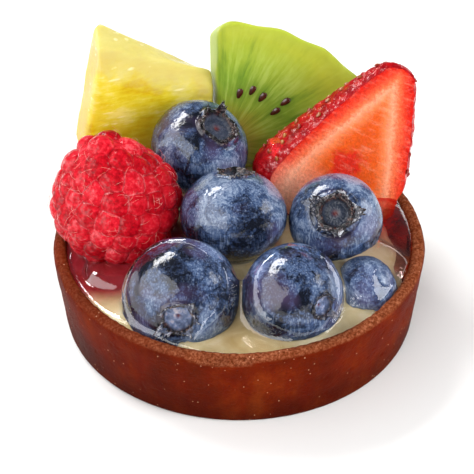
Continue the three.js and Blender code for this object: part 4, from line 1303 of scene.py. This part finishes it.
def kiwi_points():
    lattice, faces = box_grid(*KIWI_GRID)
    x, y, z = lattice.T
    share, angle = half_disc((x + 1) / 2, y)
    face = (np.abs(z) > 0.999).astype(float)
    edge = smooth(0.9, 1, share)
    depth = (1 - z) / 2 * KIWI_THICK
    slope = KIWI_SLOPE * (1 - 1.15 * depth / KIWI_THICK) * smooth(-0.1, 0.35, angle)
    radius = share * (kiwi_reach(angle) + slope)
    slanted = -1.4 * depth / KIWI_THICK * smooth(0.35, 0, (x + 1) / 2)
    inland = (1 - edge) * smooth(0.1, 0.5, share)
    dish = 0.22 * face * np.sign(z) * ripple(radius * 0.35, angle * 4, 1) * inland
    points = kiwi_place(radius * np.cos(angle) + slanted, radius * np.sin(angle), depth - dish)
    points = soften(points, faces, KNIFE_ROUNDING)
    rough = 0.05 * grain(points, 1.1, 2.0) + 0.03 * grain(points, 0.5, 8.0)
    axes = slice_axes(KIWI_TURN, KIWI_LEAN)
    points = points + (rough * np.sign(z) * face)[:, None] * axes[2]
    return clear_rim(points), faces, np.stack([radius, angle, depth], -1)


def kiwi_flesh():
    """Ripe kiwi: wet, half see-through lime flesh with pale rays from the core, darker green
    between them round the seeds, yellow-brown at the core and smooth where it was peeled."""
    made, tree, place = empty_material("wet kiwi flesh")
    flesh = add(tree, "Attribute", attribute_name="flesh").outputs["Vector"]
    near = add(tree, "Attribute", attribute_name="near_seed").outputs["Fac"]
    sunk = add(tree, "Attribute", attribute_name="sunk").outputs["Fac"]
    polar = add(tree, "SeparateXYZ", {0: flesh})
    wander = add(tree, "TexNoise", {"Vector": place, "Scale": 1 / (3 * MM), "Detail": 3})
    out = add(tree, "Math", {0: wander, 1: 2.4, 2: polar.outputs["X"]}, operation="MULTIPLY_ADD")
    layers = add(tree, "MapRange", {"Value": out, "From Min": 1.2, "From Max": 30})
    bands = add(tree, "ValToRGB", {"Fac": layers}, stops=[
        (0.12, "9c8a42"), (0.19, "c0b04a"), (0.26, "a9aa3e"), (0.33, "93a83a"), (0.48, "86a636"),
        (0.66, "a0b53c"), (0.80, "afba3c"), (0.92, "a8b33e"), (1, "8e9a32")])
    # Rays: noise that changes with the angle and hardly at all along the radius.
    curl = add(tree, "Math", {0: wander, 1: 0.03, 2: polar.outputs["Y"]}, operation="MULTIPLY_ADD")
    fan = add(tree, "Math", {0: curl, 1: 7.5}, operation="MULTIPLY")
    run = add(tree, "Math", {0: polar.outputs["X"], 1: 0.055}, operation="MULTIPLY")
    deep = add(tree, "Math", {0: polar.outputs["Z"], 1: 0.25}, operation="MULTIPLY")
    ray_at = add(tree, "CombineXYZ", {"X": fan, "Y": run, "Z": deep})
    rays = add(tree, "TexNoise", {"Vector": ray_at, "Scale": 1.6, "Detail": 4, "Roughness": 0.62})
    ray = add(tree, "MapRange", {"Value": rays, "From Min": 0.5, "From Max": 0.66, "To Max": 0.45})
    inside = add(tree, "MapRange", {
        "Value": polar.outputs["X"], "From Min": 25, "From Max": 17, "To Min": 0.15})
    clear = add(tree, "MapRange", {
        "Value": polar.outputs["X"], "From Min": 3, "From Max": 9, "To Min": 0.25})
    outer = add(tree, "Math", {0: clear, 1: inside}, operation="MULTIPLY")
    faded = add(tree, "Math", {0: ray, 1: outer}, operation="MULTIPLY")
    rayed = add(tree, "Mix", {0: faded, 6: bands, 7: "c8dc70"}, data_type="RGBA")
    shadow = add(tree, "MapRange", {
        "Value": rays, "From Min": 0.48, "From Max": 0.34, "To Max": 0.55})
    seedy = add(tree, "Math", {
        0: near, 1: 0.5, 2: shadow}, operation="MULTIPLY_ADD", use_clamp=True)
    dark = add(tree, "Math", {0: seedy, 1: inside}, operation="MULTIPLY")
    whole = add(tree, "Mix", {0: dark, 6: rayed, 7: "55802a"}, data_type="RGBA")
    # Between its two cut faces, where it was peeled, the flesh is mottled and a deeper green:
    # partly its own colour next to the skin, partly painted shade that takes back the extra light
    # these sides catch.
    off_face = add(tree, "MapRange", {
        "Value": polar.outputs["Z"], "From Min": 0.2, "From Max": 2.2, "To Max": 0.95})
    off_back = add(tree, "MapRange", {
        "Value": polar.outputs["Z"], "From Min": KIWI_THICK - 0.3, "From Max": KIWI_THICK - 1.6,
        "To Min": 0.2})
    between = add(tree, "Math", {0: off_face, 1: off_back}, operation="MULTIPLY")
    peeled = add(tree, "Mix", {0: wander, 6: "90a92a", 7: "b0be42"}, data_type="RGBA")
    sided = add(tree, "Mix", {0: between, 6: whole, 7: peeled}, data_type="RGBA")
    film = add(tree, "MapRange", {"Value": sunk, "To Min": 0.35, "To Max": 0})
    bump = add(tree, "Bump", {"Height": rays, "Strength": 0.4, "Distance": 0.2 * MM})
    shader = add(tree, "BsdfPrincipled", {
        "Base Color": sided, "Roughness": 0.36, "Subsurface Weight": 0.4,
        "Subsurface Radius": (0.9, 1, 0.4), "Subsurface Scale": 1.2 * MM,
        "Specular IOR Level": 0.05, "Coat Weight": film, "Coat Roughness": 0.12, "Coat IOR": 1.35,
        "Normal": bump})
    add(tree, "OutputMaterial", {"Surface": shader})
    return made


def kiwi_seed_coat():
    """Kiwi seeds: smooth wet seed coat, dark red-brown to nearly black."""
    made, tree, place = empty_material("wet kiwi seed coat")
    blotch = add(tree, "TexNoise", {"Vector": place, "Scale": 1 / (0.8 * MM)})
    tint = add(tree, "Mix", {0: blotch, 6: "2c120c", 7: "5e2d1c"}, data_type="RGBA")
    shader = add(tree, "BsdfPrincipled", {
        "Base Color": tint, "Roughness": 0.25, "Coat Weight": 0.6, "Coat Roughness": 0.08})
    add(tree, "OutputMaterial", {"Surface": shader})
    return made


kiwi_grid, kiwi_faces, kiwi_polar = kiwi_points()
kiwi_parts = [(kiwi_grid, kiwi_faces)]
kiwi_axes = slice_axes(KIWI_TURN, KIWI_LEAN)
near_seed = np.zeros(len(kiwi_grid))
for h, v in KIWI_SEEDS:
    turn = math.atan2(v, h)
    along = -(math.cos(turn) * kiwi_axes[0] + math.sin(turn) * kiwi_axes[1])
    spot = kiwi_place(np.array(h), np.array(v), np.array(KIWI_SEED_SINK))
    kiwi_parts.append(seed_grain(spot, along, kiwi_axes[2], KIWI_SEED_SIZE))
    near_seed = np.maximum(near_seed, np.exp(
        -(np.linalg.norm(kiwi_grid - spot, axis=1) / KIWI_SEED_HALO) ** 2))
all_points, all_faces, all_source = joined(kiwi_parts)
extra = len(all_points) - len(kiwi_grid)
kiwi = piece("kiwi_slice_flesh", all_points, all_faces, [kiwi_flesh(), kiwi_seed_coat()],
             {"flesh": np.vstack([kiwi_polar, np.zeros((extra, 3))]),
              "near_seed": np.append(near_seed, np.zeros(extra)),
              "sunk": np.zeros(len(all_points))},
             [min(k, 1) for k in all_source])
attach(kiwi, "root")
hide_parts("kiwi_slice")
glazed_pieces.append(kiwi)

# ---- pineapple wedge ----
# A wedge cut from a cored pineapple ring and stood on end at the back left: its fibres cross the
# front nearly level, and the flesh next to the rind, along the slanting top, is paler.
PINEAPPLE_FOOT = (-6.0, 23.1, 11.5)
PINEAPPLE_TURN = 20
PINEAPPLE_LEAN = 4
# Its thickness at the left and the right.
PINEAPPLE_LEFT = 8.6
PINEAPPLE_RIGHT = 4.8
# Outline of the front, along and up from its foot: where the left side starts, how far it leans
# in and how far its foot is drawn in, the right side, and the top with its slope to the right.
LEFT_SIDE, LEFT_LEAN, FOOT_DRAWN_IN = -24.7, 6.4, 8.5
RIGHT_SIDE = 2.3
TOP_EDGE, TOP_SLOPE = 29.7, 0.44
PINEAPPLE_GRID = (84, 104, 28)


def pineapple_points():
    lattice, faces = box_grid(*PINEAPPLE_GRID)
    x, y, z = lattice.T
    back = (1 - z) / 2
    up = (y + 1) / 2
    left = LEFT_SIDE - 0.4 * back + (LEFT_LEAN + 1.6 * back) * up
    left = left + FOOT_DRAWN_IN * (1 - smooth(0, 0.21, up))
    right = RIGHT_SIDE - 0.4 * (1 - up) + 0.2 * np.sin(up * 7)
    h = left + (right - left) * (x + 1) / 2
    top = TOP_EDGE + 3.2 * back - (TOP_SLOPE + 0.24 * back) * (h + 18)
    foot = 0.4 * np.sin(x * 4)
    v = foot + (top - foot) * up
    thick = PINEAPPLE_LEFT + (PINEAPPLE_RIGHT - PINEAPPLE_LEFT) * (x + 1) / 2
    depth = back * thick + 2.2 * (1 - back) * smooth(0.80, 1.0, up) ** 2
    sides = [np.where(np.abs(t) > 0.999, np.sign(t), 0) for t in (x, y, z)]
    fibre = 0.22 * ripple(h * 0.5, v * 0.22, z)
    h, v, depth = h + sides[0] * fibre, v + sides[1] * fibre, depth - sides[2] * fibre
    axes = slice_axes(PINEAPPLE_TURN, PINEAPPLE_LEAN)
    points = np.array(PINEAPPLE_FOOT) + h[:, None] * axes[0] + v[:, None] * axes[1] \
        - depth[:, None] * axes[2]
    points = soften(points, faces, KNIFE_ROUNDING)
    drawn = np.stack([h / 3.6, (v + 0.3 * h) / 0.7, depth / 1.5], -1)
    strands = 0.06 * grain(drawn, 1.0, 4.0) + 0.03 * grain(drawn * 2.1, 1.0, 9.0)
    points = points + (strands * sides[2])[:, None] * axes[2]
    points = points + (strands * sides[1])[:, None] * axes[1]
    return clear_rim(points), faces, np.stack([h, v, depth], -1), smooth(0.78, 1.0, y)


def pineapple_flesh():
    """Ripe pineapple: wet yellow flesh of fine, nearly level fibres with pale flecks between
    them, partly painted glints, amber low down where juice gathers and painted shade falls, and
    paler along the top, next to the rind."""
    made, tree, place = empty_material("wet pineapple flesh")
    flesh = add(tree, "Attribute", attribute_name="flesh").outputs["Vector"]
    top = add(tree, "Attribute", attribute_name="top").outputs["Fac"]
    sunk = add(tree, "Attribute", attribute_name="sunk").outputs["Fac"]
    drawn = add(tree, "Mapping", {
        "Vector": flesh, "Rotation": (0, 0, 0.3), "Scale": (0.16, 0.9, 0.6)})
    fibres = add(tree, "TexNoise", {
        "Vector": drawn, "Scale": 1 / 0.7, "Detail": 5, "Roughness": 0.62, "Distortion": 0.3})
    cloud = add(tree, "TexNoise", {"Vector": place, "Scale": 1 / (5 * MM), "Detail": 4})
    mix = add(tree, "Math", {0: fibres, 1: 0.5, 2: cloud}, operation="MULTIPLY_ADD")
    tone = add(tree, "MapRange", {"Value": mix, "From Min": 0.58, "From Max": 0.9})
    front = add(tree, "ValToRGB", {"Fac": tone}, stops=[
        (0, "cfae16"), (0.35, "d6c022"), (0.7, "ddcb3a"), (1, "e4d468")])
    # A band some six millimetres wide along the slanting top edge is paler, like the rind side.
    at = add(tree, "SeparateXYZ", {0: flesh})
    ragged = add(tree, "TexNoise", {
        "Vector": place, "Scale": 1 / (3.2 * MM), "Detail": 5, "Roughness": 0.6})
    level = add(tree, "Math", {
        0: at.outputs["X"], 1: TOP_SLOPE, 2: at.outputs["Y"]}, operation="MULTIPLY_ADD")
    torn_level = add(tree, "Math", {0: ragged, 1: 8, 2: level}, operation="MULTIPLY_ADD")
    rind_side = add(tree, "MapRange", {
        "Value": torn_level, "From Min": 19.2, "From Max": 24, "To Max": 0.72}, **EASED)
    pale = add(tree, "Mix", {0: rind_side, 6: front, 7: "cec37e"}, data_type="RGBA")
    # Painted shade and juice: deep amber low down, where juice gathers in the shade of the berry
    # in front.
    low = add(tree, "MapRange", {
        "Value": at.outputs["Y"], "From Min": 13, "From Max": 5, "To Max": 0.75}, **EASED)
    # The cut down the left side is deeper in colour than the front: partly glassier flesh, partly
    # painted shade that takes back the light falling on this side.
    off_face = add(tree, "MapRange", {
        "Value": at.outputs["Z"], "From Min": 0.2, "From Max": 2.4, "To Max": 0.8})
    not_top = add(tree, "Math", {0: 1, 1: top}, operation="SUBTRACT")
    beside = add(tree, "Math", {0: off_face, 1: not_top}, operation="MULTIPLY")
    sided = add(tree, "Mix", {0: beside, 6: pale, 7: "ccae50"}, data_type="RGBA")
    amber = add(tree, "Mix", {0: low, 6: sided, 7: "cc8a2c"}, data_type="RGBA")
    # Pale flecks between the fibres, in patches: partly the flesh's own, partly painted glints on
    # the wet cut.
    flecks = add(tree, "TexVoronoi", {"Vector": drawn, "Scale": 1 / 1.1})
    fleck = add(tree, "MapRange", {
        "Value": flecks, "From Min": 0.16, "From Max": 0.24, "To Min": 0.45, "To Max": 0})
    some = add(tree, "MapRange", {"Value": cloud, "From Min": 0.48, "From Max": 0.56})
    patchy = add(tree, "Math", {0: fleck, 1: some}, operation="MULTIPLY")
    flecked = add(tree, "Mix", {0: patchy, 6: amber, 7: "fbf3c4"}, data_type="RGBA")
    film = add(tree, "MapRange", {"Value": sunk, "To Min": 0.8, "To Max": 0})
    bump = add(tree, "Bump", {"Height": fibres, "Strength": 0.35, "Distance": 0.15 * MM})
    wet = add(tree, "Bump", {"Height": mix, "Strength": 0.8, "Distance": 0.6 * MM})
    shader = add(tree, "BsdfPrincipled", {
        "Base Color": flecked, "Roughness": 0.36, "Subsurface Weight": 0.35,
        "Subsurface Radius": (1, 0.8, 0.25), "Subsurface Scale": 2 * MM,
        "Specular IOR Level": 0.05, "Coat Weight": film, "Coat Roughness": 0.1, "Coat IOR": 1.4,
        "Normal": bump, "Coat Normal": wet})
    add(tree, "OutputMaterial", {"Surface": shader})
    return made


pine_points, pine_faces, pine_flesh, pine_top = pineapple_points()
pineapple = piece("pineapple_wedge_flesh", pine_points, pine_faces, [pineapple_flesh()],
                  {"flesh": pine_flesh, "top": pine_top, "sunk": 0 * pine_top})
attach(pineapple, "root")
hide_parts("pineapple_wedge")
glazed_pieces.append(pineapple)

# ---- glaze ----
# Clear setting gel of pectin, poured warm over the fruit. It fills the case nearly to the rim,
# wraps the two front berries, creeps up the other fruit and bridges the gaps between them.
GLAZE_LEVEL = 14.6
GLAZE_BLEND = 2.6
GLAZE_VOXEL = 0.355
# Height of the slow swell in the pool's surface, and in the film round a wrapped berry.
POOL_SWELL, FILM_SWELL = 0.8, 0.5
# Thickness of the film round each berry that it wraps, and how far it sinks into the crown.
WRAPPED = {"blueberry_front_left": (0.36, -2.4), "blueberry_front_middle": (0.36, 0.36)}
# Height up to which the gel clings to each of the other berries.
CLINGS = {"blueberry_right": 18.5, "blueberry_centre": 19.0, "blueberry_back": 19.5,
          "blueberry_small": 14.0}
# Where it was poured thickest: middle, half width, half height and blend of each heap.
HEAPS = [((-21.8, -9.0, 15.2), 4.8, 2.0, 0.7), ((-17.0, -9.5, 13.0), 7.0, 3.0, 2.6),
         ((20.8, -10.0, 14.0), 9.2, 5.9, 2.0), ((23.5, 3.5, 13.4), 8.5, 4.4, 2.6),
         ((0.0, -20.0, 12.5), 5.0, 4.6, 2.6)]
# Beads of gel that stand along a joint: two ends and the radius.
BEADS = [((4.4, 10.4, 21.0), (5.3, 7.0, 19.4), 0.5)]
# Thickness of the film that clings to the other fruit, and how far under the skin it runs out.
FILM, FILM_RUN_OUT = 0.36, -1.6
# Width of the ring over which a film opens round a crown, and how far the drupelets stand proud.
OPENING = 1.4
DRUPELETS_PROUD = 1.9
# How far the gel runs into the wall and into the cream, and its slope down from the rim.
INTO_WALL, INTO_CREAM = 0.12, 0.7
BRIM_RISE, BRIM_SLOPE = 0.3, 0.9
# How softly a bead joins the pool, and how round the gel's edges are at the wall and the rim.
BEAD_BLEND, WALL_BLEND, BRIM_BLEND = 0.4, 0.7, 0.8
# Height up to which the gel clings to the raspberry and to each slice, and the part of a slice
# that lies in it: the lowest and highest corner along, up and out of its face.
RASPBERRY_CLING = 16.6
CUT_FRUIT = [(STRAWBERRY_FACE, STRAWBERRY_TURN, STRAWBERRY_LEAN, (-12.0, -14.0, -7.0),
              (12.5, 10.0, 0.0), 17.5),
             (KIWI_CORE, KIWI_TURN, KIWI_LEAN, (-1.2, -6.0, -KIWI_THICK), (22.0, 10.0, 0.0), 17.0),
             (PINEAPPLE_FOOT, PINEAPPLE_TURN, PINEAPPLE_LEAN, (-22.5, 0.0, -7.0),
              (1.0, 12.0, 0.0), 17.0)]
# Heights between which the gel is worked out.
GEL_BOX_LOW, GEL_BOX_TOP = 10.5, 30.5
# Tints of the gel, in turn: juice run in by the raspberry, which also paints its red shadow and
# reflection there; a painted reflection of the crust wall on the right; painted shade at the
# front; juice run in by the strawberry, which also paints its red reflection. For each: the
# middle, how far it is full and where it ends, its colour.
JUICE_AND_SHADE_TINTS = [((-22.5, -1.5, 19.0), 13.0, 16.0, "b03552"),
                ((28.0, -1.0, 15.0), 6.0, 9.5, "b8908a"),
                ((2.0, -25.0, 13.5), 4.0, 11.0, "ddd2bd"),
                ((24.0, 8.5, 17.0), 6.5, 11.0, "c83c48")]


def ball_distance(tree, place, at, axis, r, c):
    """Distance in millimetres to a flattened ball: nodes that return one number."""
    tilt = Vector(axis).normalized().rotation_difference(Vector((0, 0, 1))).to_euler()
    from_middle = add(tree, "VectorMath", {0: place, 1: at}, operation="SUBTRACT")
    upright = add(tree, "VectorRotate", {
        "Vector": from_middle, "Rotation": tuple(tilt)}, rotation_type="EULER_XYZ")
    share = add(tree, "VectorMath", {0: upright, 1: (r, r, c)}, operation="DIVIDE")
    steep = add(tree, "VectorMath", {0: share, 1: (r, r, c)}, operation="DIVIDE")
    near = add(tree, "VectorMath", {0: share}, operation="LENGTH")
    slope = add(tree, "VectorMath", {0: steep}, operation="LENGTH")
    past = add(tree, "Math", {0: near, 1: 1}, operation="SUBTRACT")
    scaled = add(tree, "Math", {0: past, 1: near}, operation="MULTIPLY")
    return add(tree, "Math", {0: scaled, 1: slope}, operation="DIVIDE")


def bead_distance(tree, place, start, end, radius):
    """Distance in millimetres to a bead of gel drawn out between two points."""
    run = Vector(end) - Vector(start)
    from_start = add(tree, "VectorMath", {0: place, 1: start}, operation="SUBTRACT")
    along = add(tree, "VectorMath", {
        0: from_start, 1: tuple(run / run.length_squared)}, operation="DOT_PRODUCT")
    held = add(tree, "Clamp", {"Value": along})
    nearest = add(tree, "VectorMath", {0: tuple(run), 3: held}, operation="SCALE")
    off = add(tree, "VectorMath", {0: from_start, 1: nearest}, operation="DISTANCE")
    return add(tree, "Math", {0: off, 1: radius}, operation="SUBTRACT")


def slab_distance(tree, place, at, axes, low, high):
    """Distance to an upright slab given by its corner ranges along, up and out of its face."""
    from_middle = add(tree, "VectorMath", {0: place, 1: at}, operation="SUBTRACT")
    furthest = None
    for direction, least, most in zip(axes, low, high):
        along = add(tree, "VectorMath", {
            0: from_middle, 1: tuple(direction)}, operation="DOT_PRODUCT")
        inward = add(tree, "Math", {0: along, 1: (least + most) / 2}, operation="SUBTRACT")
        size = add(tree, "Math", {0: inward}, operation="ABSOLUTE")
        past = add(tree, "Math", {0: size, 1: (most - least) / 2}, operation="SUBTRACT")
        furthest = past if furthest is None else add(
            tree, "Math", {0: furthest, 1: past}, operation="MAXIMUM")
    return furthest


def glaze_tree(material):
    """Solid of gel: a level pool joined smoothly to a film round each piece of fruit."""
    tree, given = geometry_tree("poured glaze", "Level", "Blend", "Voxel")
    metres = add(tree, "GeometryNodeInputPosition")
    place = add(tree, "VectorMath", {0: metres, 1: (1 / MM,) * 3}, operation="MULTIPLY")
    z = add(tree, "SeparateXYZ", {0: place}).outputs["Z"]
    flat = add(tree, "VectorMath", {0: place, 1: (1, 1, 0)}, operation="MULTIPLY")
    reach = add(tree, "VectorMath", {0: flat}, operation="LENGTH")
    swell = add(tree, "TexNoise", {"Vector": place, "Scale": 1 / 5, "Detail": 1})
    uneven = add(tree, "Math", {
        0: swell, 1: POOL_SWELL, 2: given["Level"]}, operation="MULTIPLY_ADD")
    gel = add(tree, "Math", {0: z, 1: uneven}, operation="SUBTRACT")
    films = []
    for name, berry in BERRIES.items():
        size = (berry["at"], berry["axis"], berry["r"], berry["c"])
        distance = ball_distance(tree, place, *size)
        if name in WRAPPED:
            # The film is open over the crown, and uneven elsewhere.
            tip = np.array(berry["at"]) + berry["c"] * np.array(berry["axis"])
            off = add(tree, "VectorMath", {0: place, 1: tuple(tip)}, operation="DISTANCE")
            bare = add(tree, "MapRange", {
                "Value": off, "From Min": berry["crown"] * berry["r"],
                "From Max": berry["crown"] * berry["r"] + OPENING, "To Min": WRAPPED[name][1],
                "To Max": WRAPPED[name][0]}, **EASED)
            film = add(tree, "Math", {0: swell, 1: FILM_SWELL, 2: bare}, operation="MULTIPLY_ADD")
            thick = add(tree, "Math", {0: film, 1: FILM_SWELL / 2}, operation="SUBTRACT")
            coated = add(tree, "Math", {0: distance, 1: thick}, operation="SUBTRACT")
            gel = add(tree, "Math", {0: gel, 1: coated, 2: given["Blend"]}, operation="SMOOTH_MIN")
        else:
            films.append((distance, CLINGS[name]))
    for at, half_width, half_height, blend in HEAPS:
        heap = ball_distance(tree, place, at, (0, 0, 1), half_width, half_height)
        gel = add(tree, "Math", {0: gel, 1: heap, 2: blend}, operation="SMOOTH_MIN")
    films.append((ball_distance(tree, place, RASPBERRY_AT, RASPBERRY_LEAN,
                                RASPBERRY_RADIUS + DRUPELETS_PROUD,
                                RASPBERRY_DOWN + DRUPELETS_PROUD), RASPBERRY_CLING))
    for at, turn, lean, low, high, cling in CUT_FRUIT:
        slab = slab_distance(tree, place, at, slice_axes(turn, lean), low, high)
        films.append((slab, cling))
    for distance, cling in films:
        film = add(tree, "MapRange", {
            "Value": z, "From Min": cling - 3, "From Max": cling + 2, "To Min": FILM,
            "To Max": FILM_RUN_OUT}, **EASED)
        coated = add(tree, "Math", {0: distance, 1: film}, operation="SUBTRACT")
        gel = add(tree, "Math", {0: gel, 1: coated, 2: given["Blend"]}, operation="SMOOTH_MIN")
    for start, end, radius in BEADS:
        bead = bead_distance(tree, place, start, end, radius)
        gel = add(tree, "Math", {0: gel, 1: bead, 2: BEAD_BLEND}, operation="SMOOTH_MIN")
    # The gel stops just inside the wall, stands no higher than the rim there, and ends just
    # under the top of the cream.
    past_wall = add(tree, "Math", {0: reach, 1: INNER + INTO_WALL}, operation="SUBTRACT")
    gel = add(tree, "Math", {0: gel, 1: past_wall, 2: WALL_BLEND}, operation="SMOOTH_MAX")
    brim = add(tree, "Math", {
        0: reach, 1: -BRIM_SLOPE, 2: SHELL_HEIGHT + BRIM_RISE + BRIM_SLOPE * INNER},
        operation="MULTIPLY_ADD")
    over_brim = add(tree, "Math", {0: z, 1: brim}, operation="SUBTRACT")
    gel = add(tree, "Math", {0: gel, 1: over_brim, 2: BRIM_BLEND}, operation="SMOOTH_MAX")
    edge = INNER - CREAM_GAP
    square = add(tree, "Math", {0: reach, 1: 2}, operation="POWER")
    bed = add(tree, "Math", {
        0: square, 1: -CREAM_RISE / edge ** 2, 2: CREAM_EDGE_HEIGHT + CREAM_RISE - INTO_CREAM},
        operation="MULTIPLY_ADD")
    under = add(tree, "Math", {0: bed, 1: z}, operation="SUBTRACT")
    gel = add(tree, "Math", {0: gel, 1: under}, operation="MAXIMUM")
    full = add(tree, "Math", {0: gel, 1: -1}, operation="MULTIPLY")
    wide, low, tall = (INNER + 1.5) * MM, GEL_BOX_LOW * MM, GEL_BOX_TOP * MM
    across = add(tree, "Math", {0: 2 * wide, 1: given["Voxel"]}, operation="DIVIDE")
    up = add(tree, "Math", {0: tall - low, 1: given["Voxel"]}, operation="DIVIDE")
    mist = add(tree, "GeometryNodeVolumeCube", {
        "Density": full, "Background": -1, "Min": (-wide, -wide, low), "Max": (wide, wide, tall),
        "Resolution X": across, "Resolution Y": across, "Resolution Z": up})
    solid = add(tree, "GeometryNodeVolumeToMesh", {"Volume": mist, "Threshold": 0})
    corner = add(tree, "GeometryNodeInputPosition")
    evened = add(tree, "GeometryNodeBlurAttribute", {
        "Value": corner, "Iterations": 3}, data_type="FLOAT_VECTOR")
    calm = add(tree, "GeometryNodeSetPosition", {"Geometry": solid, "Position": evened})
    real = add(tree, "GeometryNodeRealizeInstances", {"Geometry": calm})
    dressed = add(tree, "GeometryNodeSetMaterial", {"Geometry": real, "Material": material})
    add(tree, "NodeGroupOutput", {"Geometry": dressed})
    return tree


def clear_glaze():
    """Set pectin jelly: water-clear and glass-smooth, tinted where juice has run into it beside
    the raspberry and the strawberry, with their painted red shadow and reflection, mauve by the
    right wall as a painted reflection of the crust, and grey at the front as painted shade. Lamps
    shine through it."""
    made, tree, place = empty_material("clear set pectin jelly")
    tint = (1, 1, 1, 1)
    # Each tint fades out round its middle: juice with painted shadow and reflection, and painted
    # shade.
    for at, near, far, colour in JUICE_AND_SHADE_TINTS:
        red = add(tree, "VectorMath", {
            0: place, 1: tuple(v * MM for v in at)}, operation="DISTANCE")
        tint_share = add(tree, "MapRange", {
            "Value": red, "From Min": near * MM, "From Max": far * MM, "To Min": 1, "To Max": 0},
            **EASED)
        tint = add(tree, "Mix", {0: tint_share, 6: tint, 7: colour}, data_type="RGBA")
    waves = add(tree, "TexNoise", {"Vector": place, "Scale": 1 / (1.9 * MM)})
    bump = add(tree, "Bump", {"Height": waves, "Strength": 0.5, "Distance": 0.3 * MM})
    glassy = add(tree, "BsdfPrincipled", {
        "Base Color": tint, "Roughness": 0.015, "IOR": 1.38, "Transmission Weight": 1,
        "Coat Weight": 1, "Coat IOR": 1.5, "Coat Roughness": 0.01, "Normal": bump,
        "Coat Normal": bump})
    open_ = add(tree, "BsdfTransparent", {"Color": tint})
    path = add(tree, "LightPath")
    both = add(tree, "MixShader", {0: path.outputs["Is Shadow Ray"], 1: glassy, 2: open_})
    add(tree, "OutputMaterial", {"Surface": both})
    return made


glaze = grown("clear_glaze", cream, glaze_tree(clear_glaze()), {
    "Level": GLAZE_LEVEL, "Blend": GLAZE_BLEND, "Voxel": GLAZE_VOXEL * MM})
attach(glaze, "root")

# What lies under the gel has no shine of its own: only the gel's surface mirrors the lamps.
gel_skin = BVHTree.FromPolygons([v.co.copy() for v in glaze.data.vertices],
                                [p.vertices for p in glaze.data.polygons])
for fruit in glazed_pieces:
    flags = np.zeros(len(fruit.data.vertices), np.float32)
    for k, vertex in enumerate(fruit.data.vertices):
        spot, facing, _, _ = gel_skin.find_nearest(vertex.co, 2 * MM)
        if spot is not None and (vertex.co - spot).dot(facing) < 0:
            flags[k] = 1.0
    fruit.data.attributes["sunk"].data.foreach_set("value", flags)
